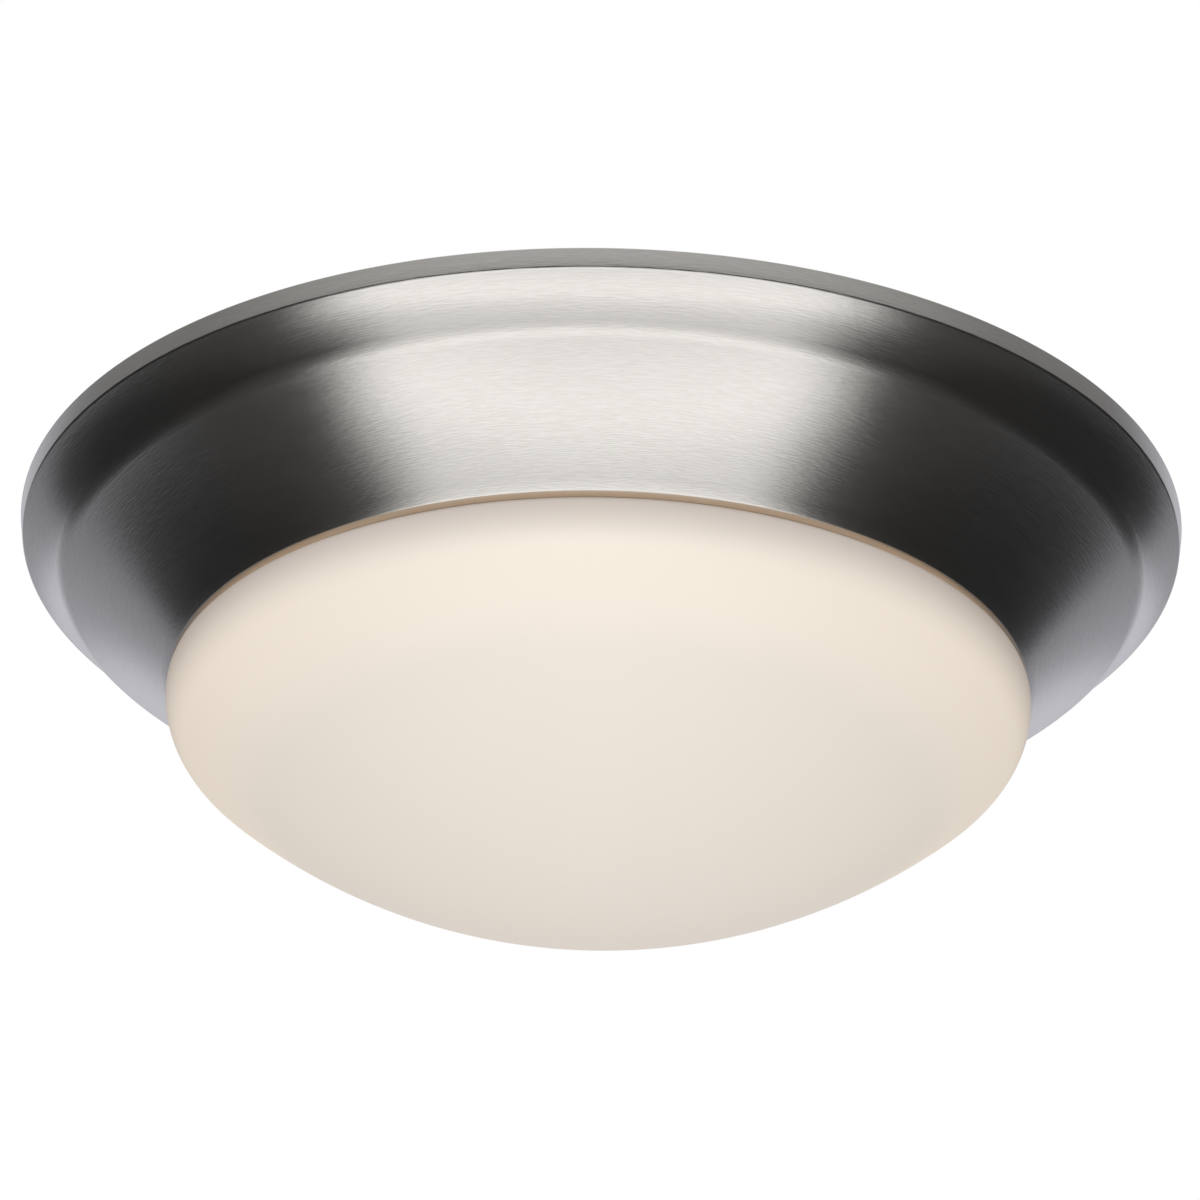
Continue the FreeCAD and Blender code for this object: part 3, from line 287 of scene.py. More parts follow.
METAL = {"metallic": 1.0}
PLAIN_FINISHES = (
    # material slot, name, darkest and lightest colour, roughness, and what else it needs
    ("zinc_plated", "zinc_plated", (0.66, 0.67, 0.70), (0.80, 0.81, 0.83), 0.26, METAL),
    ("rivet_aluminium", "rivet_aluminium", (0.70, 0.70, 0.71), (0.84, 0.84, 0.85), 0.34, METAL),
    ("terminal_brass", "terminal_brass", (0.66, 0.50, 0.25), (0.80, 0.63, 0.34), 0.30, METAL),
    ("tinned_copper", "tinned_copper", (0.60, 0.56, 0.50), (0.76, 0.73, 0.68), 0.33, METAL),
    ("white_enamel", "white_enamel", (0.84, 0.84, 0.82), (0.91, 0.91, 0.89), 0.38,
     {"scale": 1600.0}),
    ("driver_plastic", "driver_plastic", (0.80, 0.80, 0.78), (0.87, 0.87, 0.85), 0.50,
     {"scale": 1800.0}),
    ("driver_circuit", "driver_circuit", (0.02, 0.14, 0.06), (0.04, 0.22, 0.10), 0.34,
     {"coat": 0.4}),
    ("can_aluminium", "can_sleeve", (0.03, 0.04, 0.09), (0.05, 0.06, 0.13), 0.30, {"coat": 0.5}),
    ("seal_rubber", "seal_silicone", (0.74, 0.74, 0.72), (0.82, 0.82, 0.80), 0.62, {}),
    ("black_nylon", "black_nylon", (0.025, 0.025, 0.027), (0.05, 0.05, 0.052), 0.52, {}),
    ("white_nylon", "white_nylon", (0.74, 0.73, 0.68), (0.82, 0.81, 0.76), 0.46, {}),
    ("ground_green", "ground_green", (0.03, 0.25, 0.08), (0.05, 0.33, 0.12), 0.36, {}),
    ("ferrite", "ferrite", (0.045, 0.042, 0.042), (0.09, 0.085, 0.08), 0.60, {}),
    ("led_phosphor", "led_phosphor", (0.86, 0.66, 0.20), (0.95, 0.80, 0.34), 0.40, {}),
    ("thermal_grey", "thermal_grey", (0.30, 0.31, 0.33), (0.40, 0.41, 0.43), 0.75, {}),
    ("lead_black", "lead_black", (0.018, 0.018, 0.018), (0.035, 0.035, 0.035), 0.42, {}),
    ("lead_white", "lead_white", (0.78, 0.78, 0.76), (0.86, 0.86, 0.84), 0.42, {}),
    ("lead_green", "lead_green", (0.03, 0.22, 0.07), (0.05, 0.30, 0.10), 0.42, {}),
    ("lead_red", "lead_red", (0.42, 0.02, 0.02), (0.55, 0.04, 0.03), 0.42, {}),
)
FINISHES = {"galvanised_steel": galvanised_sheet(), "led_circuit": led_circuit()}
for slot, name, dark, light, roughness, more in PLAIN_FINISHES:
    FINISHES[slot] = plain_finish(name, dark, light, roughness, **more)
phosphor = FINISHES["led_phosphor"].node_tree.nodes["Principled BSDF"]
phosphor.inputs["Emission Color"].default_value = (1.0, 0.80, 0.50, 1.0)
phosphor.inputs["Emission Strength"].default_value = 0.8
print("finishes of the hidden parts:", len(FINISHES))

# %% [markdown]
# ## A lathe made of Geometry Nodes
#
# A spun pan and a blown bowl are both turned forms: an outline that goes round an axis. The lathe
# is a node tree. It takes an outline, which is a chain of points in the XZ plane, and lays a grid
# of points: one row of the grid for each step of the turn. Every grid point looks up its radius
# and height in the outline by its number, and its row gives its angle. Screw and Spin can turn a
# form too, but here the outline stays apart from the number of steps, and both can be changed
# again without touching the other.

# %% A small builder for node trees
class Recipe:
    """A Geometry Nodes tree with named inputs."""

    def __init__(self, name):
        self.tree = bpy.data.node_groups.new(name, "GeometryNodeTree")
        self.face = self.tree.interface
        self.face.new_socket("Shape", in_out="INPUT", socket_type="NodeSocketGeometry")
        self.face.new_socket("Shape", in_out="OUTPUT", socket_type="NodeSocketGeometry")
        self.source = self.tree.nodes.new("NodeGroupInput")
        self.sink = self.tree.nodes.new("NodeGroupOutput")

    def input(self, name, kind):
        self.face.new_socket(name, in_out="INPUT", socket_type=kind)
        return self.source.outputs[name]

    def node(self, kind, settings=None, values=None):
        node = self.tree.nodes.new(kind)
        for name, setting in (settings or {}).items():
            setattr(node, name, setting)
        for key, value in (values or {}).items():
            if isinstance(value, bpy.types.NodeSocket):
                self.tree.links.new(value, node.inputs[key])
            else:
                node.inputs[key].default_value = value
        return node

    def maths(self, operation, first, second=0.0):
        values = {0: first, 1: second}
        return self.node("ShaderNodeMath", {"operation": operation}, values).outputs[0]

    def finish(self, shape, material):
        """Every tree ends in real geometry with its finish on it."""
        real = self.node("GeometryNodeRealizeInstances", values={"Geometry": shape})
        values = {"Geometry": real.outputs[0], "Material": material}
        dressed = self.node("GeometryNodeSetMaterial", values=values)
        self.tree.links.new(dressed.outputs[0], self.sink.inputs[0])
        return self.tree

# %% The lathe
MERGE_DISTANCE = 1e-6


def lathe():
    recipe = Recipe("lathe")
    steps = recipe.input("Steps", "NodeSocketInt")
    material = recipe.input("Finish", "NodeSocketMaterial")
    outline = recipe.source.outputs["Shape"]
    size = recipe.node("GeometryNodeAttributeDomainSize", values={"Geometry": outline})
    count = size.outputs["Point Count"]
    rows = recipe.maths("ADD", steps, 1.0)
    grid = recipe.node("GeometryNodeMeshGrid", values={"Vertices X": rows, "Vertices Y": count})
    index = recipe.node("GeometryNodeInputIndex").outputs[0]
    row = recipe.maths("FLOOR", recipe.maths("DIVIDE", index, count))
    place = recipe.maths("SUBTRACT", index, recipe.maths("MULTIPLY", row, count))
    position = recipe.node("GeometryNodeInputPosition").outputs[0]
    settings = {"data_type": "FLOAT_VECTOR", "domain": "POINT"}
    values = {"Geometry": outline, "Value": position, "Index": place}
    sample = recipe.node("GeometryNodeSampleIndex", settings, values)
    point = recipe.node("ShaderNodeSeparateXYZ", values={0: sample.outputs[0]})
    angle = recipe.maths("MULTIPLY", recipe.maths("DIVIDE", row, steps), 2 * math.pi)
    x = recipe.maths("MULTIPLY", point.outputs["X"], recipe.maths("COSINE", angle))
    y = recipe.maths("MULTIPLY", point.outputs["X"], recipe.maths("SINE", angle))
    turned = recipe.node("ShaderNodeCombineXYZ", values={0: x, 1: y, 2: point.outputs["Z"]})
    values = {"Geometry": grid.outputs["Mesh"], "Position": turned.outputs[0]}
    moved = recipe.node("GeometryNodeSetPosition", values=values)
    values = {"Geometry": moved.outputs[0], "Distance": MERGE_DISTANCE}
    closed = recipe.node("GeometryNodeMergeByDistance", values=values)
    return recipe.finish(closed.outputs[0], material)


LATHE = lathe()
print("tree:", LATHE.name, "with", len(LATHE.nodes), "nodes")

# %% [markdown]
# The second tree puts copies of a small shape on a circle: screws, rivets, lugs or light-emitting
# chips. Both trees are used through one function, which runs the tree and keeps the result as a
# plain mesh, so that nothing is left live on the finished piece.

# %% Copies on a circle
def circle_of_copies():
    recipe = Recipe("circle_of_copies")
    count = recipe.input("Count", "NodeSocketInt")
    radius = recipe.input("Radius", "NodeSocketFloat")
    first = recipe.input("First angle", "NodeSocketFloat")
    material = recipe.input("Finish", "NodeSocketMaterial")
    index = recipe.node("GeometryNodeInputIndex").outputs[0]
    share = recipe.maths("MULTIPLY", recipe.maths("DIVIDE", index, count), 2 * math.pi)
    angle = recipe.maths("ADD", share, first)
    x = recipe.maths("MULTIPLY", radius, recipe.maths("COSINE", angle))
    y = recipe.maths("MULTIPLY", radius, recipe.maths("SINE", angle))
    place = recipe.node("ShaderNodeCombineXYZ", values={0: x, 1: y, 2: 0.0})
    turn = recipe.node("ShaderNodeCombineXYZ", values={0: 0.0, 1: 0.0, 2: angle})
    values = {"Count": count, "Position": place.outputs[0]}
    points = recipe.node("GeometryNodePoints", values=values)
    values = {"Points": points.outputs[0], "Instance": recipe.source.outputs["Shape"],
              "Rotation": turn.outputs[0]}
    copies = recipe.node("GeometryNodeInstanceOnPoints", values=values)
    return recipe.finish(copies.outputs[0], material)


CIRCLE = circle_of_copies()


def through_modifiers(mesh, add_modifiers):
    """The mesh as it comes out of the modifiers that the given function adds."""
    carrier = bpy.data.objects.new("carrier", mesh)
    bpy.context.collection.objects.link(carrier)
    add_modifiers(carrier)
    graph = bpy.context.evaluated_depsgraph_get()
    result = bpy.data.meshes.new_from_object(carrier.evaluated_get(graph))
    bpy.data.objects.remove(carrier)
    return result


def run_tree(tree, mesh, **inputs):
    """Runs a tree on a mesh and returns the result as a plain mesh."""
    sockets = {item.name: item.identifier for item in tree.interface.items_tree
               if item.in_out == "INPUT"}

    def add_tree(carrier):
        modifier = carrier.modifiers.new("tree", "NODES")
        modifier.node_group = tree
        for name, value in inputs.items():
            modifier[sockets[name.replace("_", " ")]] = value

    return through_modifiers(mesh, add_tree)


print("trees:", LATHE.name, "and", CIRCLE.name)

# %% [markdown]
# ## Turning a mesh into a finished piece
#
# A finished piece rides on a body of the frame, stands for its solid and has smooth shading with
# crisp edges. Its mesh's signed volume is looked at first: a negative one means that the faces
# point inwards, and then they are all turned round.

# %% Finishing a piece
def signed_volume(mesh):
    mesh.calc_loop_triangles()
    points = [vertex.co for vertex in mesh.vertices]
    total = 0.0
    for triangle in mesh.loop_triangles:
        a, b, c = (points[index] for index in triangle.vertices)
        total += a.dot(b.cross(c))
    return total / 6


def finished(name, mesh, body, material, node, crease=None):
    """A piece for one node; without a material or a crease, the mesh keeps its own."""
    if signed_volume(mesh) < 0:
        mesh.flip_normals()
    if material:
        mesh.materials.clear()
        mesh.materials.append(material)
    if crease:
        mesh.shade_smooth()
        mesh.set_sharp_from_angle(angle=math.radians(crease))
    piece = bpy.data.objects.new(name, mesh)
    bpy.context.collection.objects.link(piece)
    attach(piece, body)
    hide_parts(node)
    volume = signed_volume(mesh) / MM ** 3
    print("piece: %-22s %6d faces, %8.0f mm3" % (name, len(mesh.polygons), volume))
    return piece

# %% [markdown]
# ## Drawing an outline
#
# The pan's tiers are hollow arcs, so an outline is drawn with lines and with arcs that are given
# by how far their middle lies behind the chord. Two helpers finish it: one softens a corner, as
# sheet metal can't bend to a sharp edge, and one gives the outline its thickness.

# %% Lines, coves and softened corners
def arc_points(start, end, rise, steps):
    """Points along an arc; a positive rise puts its middle to the right of its chord."""
    start, end = Vector(start), Vector(end)
    chord = end - start
    way = chord.normalized()
    right = Vector((chord.y, -chord.x)).normalized()
    radius = (chord.length ** 2 / 4 + rise ** 2) / (2 * rise)
    centre = (start + end) / 2 + right * (rise - radius)
    half = math.asin(chord.length / 2 / abs(radius))
    points = []
    for index in range(steps + 1):
        turn = half * (2 * index / steps - 1)
        across = right * (radius * math.cos(turn))
        along = way * (abs(radius) * math.sin(turn))
        points.append(centre + across + along)
    return points


def soften(points, corner, reach, steps):
    """Replaces what lies within reach of a corner by a smooth bend."""
    corner = Vector(corner)
    middle = min(range(len(points)), key=lambda index: (points[index] - corner).length)
    before = [point for point in points[:middle] if (point - corner).length > reach]
    after = [point for point in points[middle + 1:] if (point - corner).length > reach]
    start = corner + (before[-1] - corner).normalized() * reach
    end = corner + (after[0] - corner).normalized() * reach
    bend = []
    for index in range(steps + 1):
        share = index / steps
        rest = 1 - share
        bend.append(start * rest ** 2 + corner * (2 * share * rest) + end * share ** 2)
    return before + bend + after


def thickened(points, thickness):
    """A closed outline: the skin and, back again, the same skin offset to its right."""
    inner = []
    for index, point in enumerate(points):
        sides = []
        if index > 0:
            way = (point - points[index - 1]).normalized()
            sides.append(Vector((way.y, -way.x)))
        if index < len(points) - 1:
            way = (points[index + 1] - point).normalized()
            sides.append(Vector((way.y, -way.x)))
        side = (sides[0] + sides[-1]).normalized()
        inner.append(point + side * (thickness / max(side.dot(sides[0]), 0.5)))
    return points + inner[::-1] + [points[0]]


def outline_mesh(points):
    """A chain of points as a mesh in the XZ plane, in metres."""
    mesh = bpy.data.meshes.new("outline")
    places = [(point[0] * MM, 0.0, point[1] * MM) for point in points]
    mesh.from_pydata(places, [(index, index + 1) for index in range(len(places) - 1)], [])
    return mesh


def turned(points, material, steps):
    return run_tree(LATHE, outline_mesh(points), Steps=steps, Finish=material)


print("an outline is a list of radius and height pairs in millimetres")

# %% [markdown]
# ## The pan
#
# From the ceiling inwards the pan has a flat flange, a short upright band, two hollow tiers with a
# rounded ridge between them, a rolled lip, and a wall that goes back up inside the mouth and ends
# in a seat. All of it is one sheet, 0.8 mm thick. Three rivets hold the back plate to the flange,
# so three holes are drilled there.

# %% The pan's sizes and outline
PAN_RADIUS = 177.8
PAN_SHEET = 0.8
PAN_STEPS = 360
FLANGE_WIDTH = 14.0
UPPER_COVE, LOWER_COVE = 0.9, 1.8
FLARE_RISE = -0.04
BAND_EDGE = (177.1, -6.1)
RIDGE = (164.7, -19.8)
LOWER_EDGE = (130.7, -54.4)
FLARE_START = 4.0
LIP_EDGE = (130.7, -54.15)
LIP_INNER = (127.6, -56.0)
RETURN_FOOT = (128.2, -54.9)
RETURN_TOP = (128.6, -45.5)
SEAT_OUTER = 135.3
RIVET_CIRCLE = 169.65
RIVET_HOLE = 2.0
DRILL_LOW, DRILL_HIGH = -1.3, 0.5
DRILL_SIDES = 32


def pan_outline():
    skin = [Vector((PAN_RADIUS - FLANGE_WIDTH, 0.0)), Vector((PAN_RADIUS, 0.0))]
    skin += arc_points(BAND_EDGE, RIDGE, UPPER_COVE, 24)
    tier = arc_points(RIDGE, LOWER_EDGE, LOWER_COVE, 64)[1:]
    tier = [point for point in tier if (point - Vector(LOWER_EDGE)).length > FLARE_START]
    skin += tier + arc_points(tier[-1], LIP_EDGE, FLARE_RISE, 8)[1:]
    skin += [Vector(LIP_INNER), Vector(RETURN_FOOT)]
    skin += [Vector(RETURN_TOP), Vector((SEAT_OUTER, RETURN_TOP[1]))]
    bends = (((PAN_RADIUS, 0.0), 0.35, 3), (BAND_EDGE, 0.5, 4), (RIDGE, 3.0, 14),
             (LIP_EDGE, 0.3, 4), (LIP_INNER, 0.3, 5), (RETURN_FOOT, 0.3, 4))
    for corner, reach, steps in bends:
        skin = soften(skin, corner, reach, steps)
    return thickened(skin, PAN_SHEET)


def drill_mesh():
    """A short round drill for one rivet hole, around the Z axis."""
    mesh = bpy.data.meshes.new("drill")
    sides = DRILL_SIDES
    points = []
    for level in (DRILL_LOW, DRILL_HIGH):
        for step in range(sides):
            turn = math.tau * step / sides
            x, y = RIVET_HOLE * math.cos(turn), RIVET_HOLE * math.sin(turn)
            points.append((x * MM, y * MM, level * MM))
    faces = [tuple(range(sides - 1, -1, -1)), tuple(range(sides, 2 * sides))]
    for step in range(sides):
        after = (step + 1) % sides
        faces.append((step, after, after + sides, step + sides))
    mesh.from_pydata(points, [], faces)
    return mesh


def drilled(mesh):
    """The pan's sheet with its three rivet holes."""
    drills = run_tree(CIRCLE, drill_mesh(), Count=3, Radius=RIVET_CIRCLE * MM,
                      First_angle=0.0, Finish=NICKEL)
    tool = bpy.data.objects.new("drills", drills)
    bpy.context.collection.objects.link(tool)

    def add_cut(sheet):
        cut = sheet.modifiers.new("cut", "BOOLEAN")
        cut.object = tool
        cut.solver = "EXACT"

    result = through_modifiers(mesh, add_cut)
    bpy.data.objects.remove(tool)
    return result


pan_mesh = drilled(turned(pan_outline(), NICKEL, PAN_STEPS))
finished("spun_pan", pan_mesh, "fixture", NICKEL, "trim_pan", 50.0)

# %% [markdown]
# ## The glass bowl
#
# The bowl's neck stands up inside the mouth and carries three lugs. Below the lip the glass turns
# out in a short shelf, swells over a rounded shoulder and runs into a flat crown whose centre lies
# above the ceiling. Shoulder and crown are arcs that share a tangent, so no edge shows.

# %% The bowl's sizes and outline
NECK_RADIUS = 123.5
NECK_TOP = -40.0
SHELF = -56.3
GLASS_RADIUS = 131.3
WIDEST = -58.6
GLASS_WALL = 3.0
SHOULDER = 17.8
CROWN = 187.1
GLASS_STEPS = 320
LUG_INNER, LUG_OUTER = 122.6, 127.3
LUG_LOW, LUG_HIGH = -44.0, -41.0
LUG_HALF_ANGLE = 10.0
LUG_STEPS = 10


def circle_points(centre, radius, start, end, steps):
    """Points on a circle between two angles, in degrees from the outward direction."""
    points = []
    for index in range(steps + 1):
        turn = math.radians(start + (end - start) * index / steps)
        across, up = radius * math.cos(turn), radius * math.sin(turn)
        points.append(Vector((centre[0] + across, centre[1] + up)))
    return points


def glass_outline():
    shoulder = (GLASS_RADIUS - SHOULDER, WIDEST)
    lift = math.sqrt((CROWN - SHOULDER) ** 2 - shoulder[0] ** 2)
    tangent = -math.degrees(math.atan2(lift, shoulder[0]))
    rise = math.degrees(math.asin((SHELF - WIDEST) / SHOULDER))
    skin = [Vector((NECK_RADIUS, NECK_TOP)), Vector((NECK_RADIUS, SHELF))]
    skin += circle_points(shoulder, SHOULDER, rise, tangent, 28)
    skin += circle_points((0.0, WIDEST + lift), CROWN, tangent, -90.0, 60)[1:]
    rim, foot = skin[2], skin[1]
    skin = soften(skin, rim, 1.4, 6)
    skin = soften(skin, foot, 0.8, 4)
    skin[-1].x = 0.0
    closed = thickened(skin, GLASS_WALL)
    for point in closed:
        point.x = max(point.x, 0.0)
    return closed


def lug_mesh():
    """One lug, as a piece of a ring that is centred on the X axis."""
    mesh = bpy.data.meshes.new("lug")
    section = ((LUG_INNER, LUG_LOW), (LUG_OUTER, LUG_LOW),
               (LUG_OUTER, LUG_HIGH), (LUG_INNER, LUG_HIGH))
    points, faces = [], []
    for index in range(LUG_STEPS + 1):
        turn = math.radians(LUG_HALF_ANGLE * (2 * index / LUG_STEPS - 1))
        for radius, level in section:
            x, y = radius * math.cos(turn), radius * math.sin(turn)
            points.append((x * MM, y * MM, level * MM))
    for index in range(LUG_STEPS):
        for side in range(4):
            a, b = 4 * index + side, 4 * index + (side + 1) % 4
            faces.append((a, b, b + 4, a + 4))
    faces += [(3, 2, 1, 0), tuple(range(4 * LUG_STEPS, 4 * LUG_STEPS + 4))]
    mesh.from_pydata(points, [], faces)
    return mesh


def joined(meshes, name):
    """Several meshes as one."""
    objects = [bpy.data.objects.new(name, mesh) for mesh in meshes]
    for item in objects:
        bpy.context.collection.objects.link(item)
        item.select_set(True)
    first = objects[0]
    bpy.context.view_layer.objects.active = first
    with bpy.context.temp_override(active_object=first, object=first,
                                   selected_editable_objects=objects):
        bpy.ops.object.join()
    mesh = first.data.copy()
    bpy.data.objects.remove(first)
    return mesh


lugs = run_tree(CIRCLE, lug_mesh(), Count=3, Radius=0.0, First_angle=0.0, Finish=GLASS)
bowl = joined([turned(glass_outline(), GLASS, GLASS_STEPS), lugs], "bowl")
finished("glass_bowl", bowl, "diffuser", GLASS, "glass_diffuser", 40.0)

# %% [markdown]
# ## The parts that the pan hides
#
# The crossbar, the back plate, the driver and the other hidden parts have the right shape already,
# but a solid's mesh has knife-sharp edges and loose corners. A copy of each one is merged at its
# corners and gets its finish. The thick parts get a narrow bevel too, while thin sheet and the
# round leads need none. The widths in the table are in millimetres.

# %% Bevelled copies of the solids
SLOT_OF = {item["node"]: item["material_slot"] for item in frame["record"]["subparts"]}
BEVELS = {
    "crossbar": 0.25, "back_plate": 0.0, "lock_ring": 0.0, "dust_seal": 0.3,
    "terminal_block": 0.35, "driver_case": 0.4, "driver_lid": 0.35, "led_tray": 0.0,
    "led_board": 0.15, "thermal_pad": 0.1, "board_connector": 0.2, "driver_transformer": 0.3,
    "driver_board": 0.1, "driver_capacitors": 0.5, "entry_bush": 0.3, "feed_grommet": 0.3,
    "ground_eye": 0.15, "ground_screw": 0.3, "terminal_screws": 0.15, "driver_screws": 0.3,
    "tray_screws": 0.3, "board_screws": 0.25, "fixture_screws": 0.4, "back_plate_rivets": 0.3,
    "live_lead": 0.0, "neutral_lead": 0.0, "ground_lead": 0.0, "led_lead_plus": 0.0,
    "led_lead_minus": 0.0,
}


def weld_and_bevel(carrier, width):
    weld = carrier.modifiers.new("weld", "WELD")
    weld.merge_threshold = MERGE_DISTANCE
    if width > 0.0:
        flat = carrier.modifiers.new("flat", "DECIMATE")
        flat.decimate_type = "DISSOLVE"
        flat.angle_limit = math.radians(1.0)
        bevel = carrier.modifiers.new("bevel", "BEVEL")
        bevel.width = width * MM
        bevel.segments = 2
        bevel.limit_method = "ANGLE"
        bevel.angle_limit = math.radians(35.0)
        bevel.use_clamp_overlap = True


def flat_faces_first(carrier):
    """Large flat faces keep their own direction, and only the bevels are shaded round."""
    weighted = carrier.modifiers.new("weighted", "WEIGHTED_NORMAL")
    weighted.keep_sharp = True
    weighted.weight = 80


def bevelled_copy(node, width):
    """A merged copy of a solid's mesh, with a bevel along its sharp edges.

    The solid's own stored normals would spoil the new shading, so they are dropped first.
    """
    mesh = frame["nodes"][node].data.copy()
    if "custom_normal" in mesh.attributes:
        mesh.attributes.remove(mesh.attributes["custom_normal"])
    mesh = through_modifiers(mesh, lambda carrier: weld_and_bevel(carrier, width))
    if signed_volume(mesh) < 0:
        mesh.flip_normals()
    mesh.shade_smooth()
    mesh.set_sharp_from_angle(angle=math.radians(50.0 if width else 25.0))
    return through_modifiers(mesh, flat_faces_first) if width else mesh


def body_of(node):
    bodies = frame["record"]["behaviour"]["bodies"]
    return next(name for name, nodes in bodies.items() if node in nodes)


for node, width in BEVELS.items():
    slot = SLOT_OF[node]
    shape = bevelled_copy(node, width)
    finished(node + "_dressed", shape, body_of(node), FINISHES[slot], node)

# %% [markdown]
# ## The chips
#
# Each chip is a small white housing with a well whose floor is yellow phosphor. For each of three
# rings the circle tree copies one housing and one floor. They go through the tree apart and are one
# piece in the end, so that each keeps its own finish.

# %% Housings and phosphor on three rings
CHIP_TOP = -34.1
CHIP_BOTTOM = -34.8
CHIP_WELL = -34.62
CHIP_HALF = (1.4, 1.75)
WELL_MOUTH_HALF = (1.05, 1.4)
WELL_FLOOR_HALF = (0.95, 1.3)
CORNERS = ((-1, -1), (1, -1), (1, 1), (-1, 1))


def rectangle(half, level):
    """Four corners at one level, from half a chip's length and width."""
    return [(x * half[0] * MM, y * half[1] * MM, level * MM) for x, y in CORNERS]


def chip_housing():
    """A box that is open towards the room, with a wall and a well."""
    mesh = bpy.data.meshes.new("housing")
    points = rectangle(CHIP_HALF, CHIP_TOP) + rectangle(CHIP_HALF, CHIP_BOTTOM)
    points += rectangle(WELL_MOUTH_HALF, CHIP_BOTTOM) + rectangle(WELL_FLOOR_HALF, CHIP_WELL)
    faces = [(0, 1, 2, 3)]
    for ring in range(3):
        for side in range(4):
            here, there = 4 * ring + side, 4 * ring + (side + 1) % 4
            faces.append((here, here + 4, there + 4, there))
    mesh.from_pydata(points, [], faces)
    return mesh


def chip_phosphor():
    """The yellow floor of the well."""
    mesh = bpy.data.meshes.new("phosphor")
    mesh.from_pydata(rectangle(WELL_FLOOR_HALF, CHIP_WELL), [], [(3, 2, 1, 0)])
    return mesh


rings = []
for radius, count in CHIP_RINGS:
    for mesh, slot in ((chip_housing(), "white_nylon"), (chip_phosphor(), "led_phosphor")):
        look = FINISHES[slot]
        ring = run_tree(CIRCLE, mesh, Count=count, Radius=radius * MM,
                        First_angle=math.pi / count, Finish=look)
        ring.materials.clear()
        ring.materials.append(look)
        rings.append(ring)
chips = finished("led_chips_dressed", joined(rings, "chips"), "fixture", None,
                 "led_chips", 20.0)
print("chips:", sum(count for radius, count in CHIP_RINGS))
print("their finishes:", [look.name for look in chips.data.materials])

# %% [markdown]
# ## The studio
#
# Polished metal has hardly any colour of its own: it shows what stands around it. In the
# photograph the near side of the pan mirrors a wide white sheet, which lies below and in front of
# the object, and its flanks mirror a dark room. A round tent takes the place of that room. Only
# mirror rays see it, so it neither lights the object nor gets into the picture. What it shows
# depends on direction alone: a white sheet below, dark cloth at both sides, grey overhead.

# %% The tent that the metal mirrors
TENT_RADIUS = 2200.0
TENT_STEPS = 96
TENT_PEAK = 1.3
BLACK = (0.0, 0.0, 0.0)


def tent_finish():
    """The room by direction alone: x to the right, front to the room's camera side, z up."""
    finish = Finish("tent_cloth", Roughness=1.0, Base_Color=BLACK, Specular_IOR_Level=0.0)
    way = finish.node("ShaderNodeVectorMath", {"operation": "NORMALIZE"}, {0: finish.place()})
    x, y, z = finish.parts(way)
    front, side, down = y * -1, (x + 0.022).maths("ABSOLUTE"), z * -1
    # The white sheet: how far it reaches to the sides, and where it ends above.
    reach = front.between(0.05, 0.215) * 0.111 + front * 0.116
    sheet = (side - reach).between(0.57, 0.31) * down.between(0.28, 0.46)
    # Its brightness: a brighter band low down, and dimmer towards the back.
    ridge = down.between(0.715, 0.83) * 0.52 - down.between(0.77, 0.965) * 0.39 + 0.70
    glow = ridge * (1 - y.between(0.05, 0.70) * 0.5)
    # A dim cloth behind, and a trace of light between the sheet and the dark sides.
    cloth = side.between(0.77, 0.66) * y.between(0.20, 0.50)
    behind = cloth * (y.between(0.62, 1.0) * 0.17 + 0.19)
    below = sheet * glow + behind + side.between(0.87, 0.76) * 0.018 + 0.018
    # Overhead it is grey, and lighter at the front, at the back and straight up.
    above = front.between(0.1, 1.0) * 0.26 + y.between(0.3, 1.0) * 0.46
    above = above + z.between(0.5, 0.9) * 0.35 + 0.20
    overhead = z.between(0.02, 0.22)
    level = below * (1 - overhead) + above * overhead
    tint = finish.mix(y.between(0.0, 0.8), (1.0, 0.985, 0.965), (0.92, 0.92, 1.0))
    finish.set("Emission Color", finish.mix(level / TENT_PEAK, BLACK, tint))
    finish.set("Emission Strength", TENT_PEAK)
    return finish.material


def tent():
    outline = circle_points((0.0, 0.0), TENT_RADIUS, -90.0, 90.0, 48)
    outline[0].x = outline[-1].x = 0.0
    mesh = turned(outline, tent_finish(), TENT_STEPS)
    mesh.shade_smooth()
    cloth = bpy.data.objects.new("tent", mesh)
    bpy.context.collection.objects.link(cloth)
    for ray in ("camera", "diffuse", "shadow", "transmission", "volume_scatter"):
        setattr(cloth, "visible_" + ray, False)


tent()
print("the tent is", 2 * TENT_RADIUS * MM, "m across")

# %% [markdown]
# ## Floor, lamps and world
#
# The floor lies far below and is pale. Part of its brightness towards the camera is its own, which
# keeps it near white from above, and the rest is light that falls on it. The world is white behind
# the object and softer as a light, and three wide lamps add a little direction.

# %% Floor, lamps and world
FLOOR_LEVEL = -8000.0
FLOOR_RADIUS = 60000.0
FLOOR_GLOW = 0.6
WORLD_LIGHT = 0.36
WHITE = (1.0, 1.0, 1.0)
LIGHT_CENTRE = Vector((0.0, 0.0, -0.06))
LAMPS = (
    # name, place, size, radiance and colour
    ("lamp_front", (-0.1, -1.5, -1.3), 1.4, 2.7, WHITE),
    ("lamp_behind", (0.3, 1.6, -1.3), 1.4, 0.75, (0.80, 0.92, 1.0)),
    ("lamp_above", (0.6, 0.9, 1.9), 1.6, 1.5, WHITE),
)


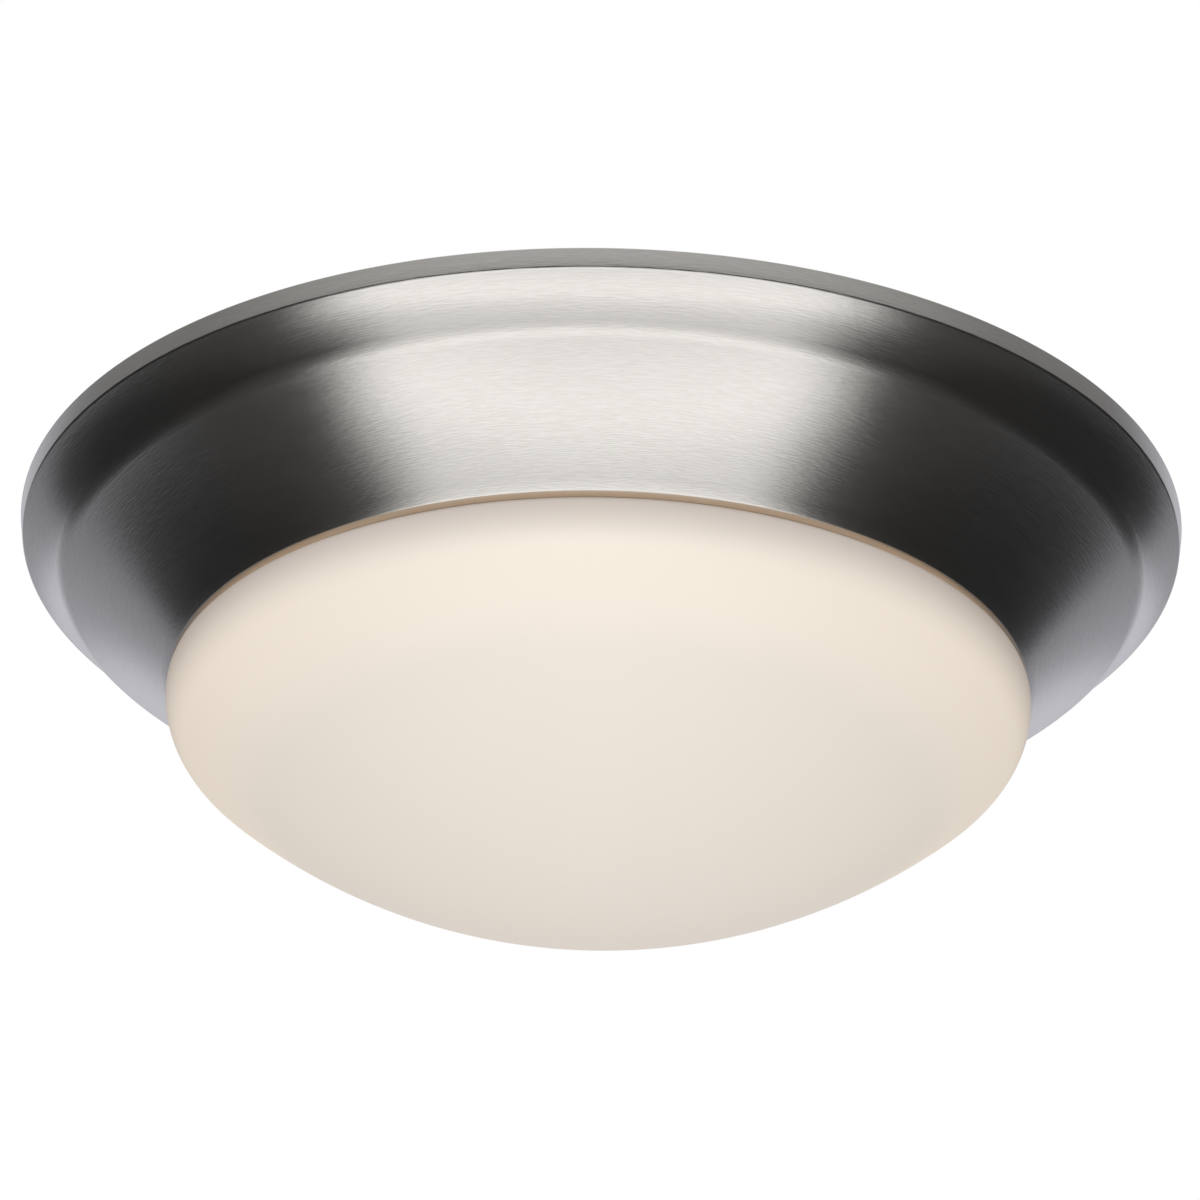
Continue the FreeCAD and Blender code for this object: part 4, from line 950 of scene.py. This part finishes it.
def pale_floor():
    finish = Finish("pale_floor", Roughness=0.9, Specular_IOR_Level=0.1)
    cloud = finish.noise(finish.place(), 1.4)
    finish.set("Base Color", finish.mix(cloud, (0.88, 0.88, 0.88), (0.92, 0.92, 0.92)))
    seen = finish.node("ShaderNodeLightPath", output="Is Camera Ray")
    for kind in ("Is Glossy Ray", "Is Transmission Ray"):
        seen = seen.maths("MAXIMUM", finish.node("ShaderNodeLightPath", output=kind))
    white = finish.node("ShaderNodeEmission", values={"Color": WHITE, "Strength": 1.0})
    lit = Wire(finish, finish.shader.outputs[0])
    both = finish.node("ShaderNodeMixShader", values={0: seen * FLOOR_GLOW, 1: lit, 2: white})
    finish.tree.links.new(both.socket, finish.tree.nodes["Material Output"].inputs[0])
    return finish.material


def floor():
    outline = [Vector((0.0, FLOOR_LEVEL)), Vector((FLOOR_RADIUS, FLOOR_LEVEL))]
    ground = bpy.data.objects.new("floor", turned(outline, pale_floor(), 64))
    bpy.context.collection.objects.link(ground)


def soft_lamp(name, place, size, radiance, colour):
    """A wide lamp that shines towards the object and isn't mirrored by it."""
    data = bpy.data.lights.new(name, "AREA")
    data.shape = "DISK"
    data.color = colour
    data.size = size
    area = math.pi * size ** 2 / 4
    data.energy = radiance * math.pi * area
    lamp = bpy.data.objects.new(name, data)
    aim = (LIGHT_CENTRE - Vector(place)).to_track_quat("-Z", "Y")
    lamp.matrix_world = Matrix.Translation(place) @ aim.to_matrix().to_4x4()
    lamp.visible_camera = False
    lamp.visible_glossy = False
    bpy.context.collection.objects.link(lamp)


def white_world():
    """White for the eye, mirrors and glass, and WORLD_LIGHT as a light."""
    world = bpy.data.worlds.new("studio")
    bpy.context.scene.world = world
    world.use_nodes = True
    nodes, links = world.node_tree.nodes, world.node_tree.links
    path = nodes.new("ShaderNodeLightPath")
    seen = path.outputs["Is Camera Ray"]
    for other in ("Is Glossy Ray", "Is Transmission Ray"):
        either = nodes.new("ShaderNodeMath")
        either.operation = "MAXIMUM"
        links.new(seen, either.inputs[0])
        links.new(path.outputs[other], either.inputs[1])
        seen = either.outputs[0]
    strength = nodes.new("ShaderNodeMapRange")
    links.new(seen, strength.inputs["Value"])
    strength.inputs["To Min"].default_value = WORLD_LIGHT
    strength.inputs["To Max"].default_value = 1.0
    background = nodes["Background"]
    background.inputs["Color"].default_value = WHITE + (1.0,)
    links.new(strength.outputs[0], background.inputs["Strength"])


floor()
for lamp in LAMPS:
    soft_lamp(*lamp)
white_world()
bpy.context.scene.view_settings.view_transform = "Standard"
print("floor, lamps and world are in place")

# %% [markdown]
# ## The camera
#
# The photograph looks up at the light from a long way off: the rim's ellipse gives the angle, 28
# degrees up from the horizon, and the slight difference between its near and its far half gives
# the distance. The camera is tipped a little less than that and rolled by almost a degree,
# because the light isn't quite centred and level in the picture.

# %% The camera
CAMERA_PLACE = (0.0, -2.3522, -1.2570)
CAMERA_TILT, CAMERA_ROLL = 27.71, 0.935
LENS, SENSOR = 260.8, 36.0

data = bpy.data.cameras.new("camera")
data.sensor_width = SENSOR
data.lens = LENS
data.clip_end = 50.0
camera = bpy.data.objects.new("camera", data)
bpy.context.collection.objects.link(camera)
tilt = Matrix.Rotation(math.radians(90.0 + CAMERA_TILT), 4, "X")
roll = Matrix.Rotation(math.radians(CAMERA_ROLL), 4, "Z")
camera.matrix_world = Matrix.Translation(CAMERA_PLACE) @ tilt @ roll
bpy.context.scene.camera = camera
print("camera at", [round(value, 3) for value in camera.matrix_world.translation])

# %% Update the scene
bpy.context.view_layer.update()
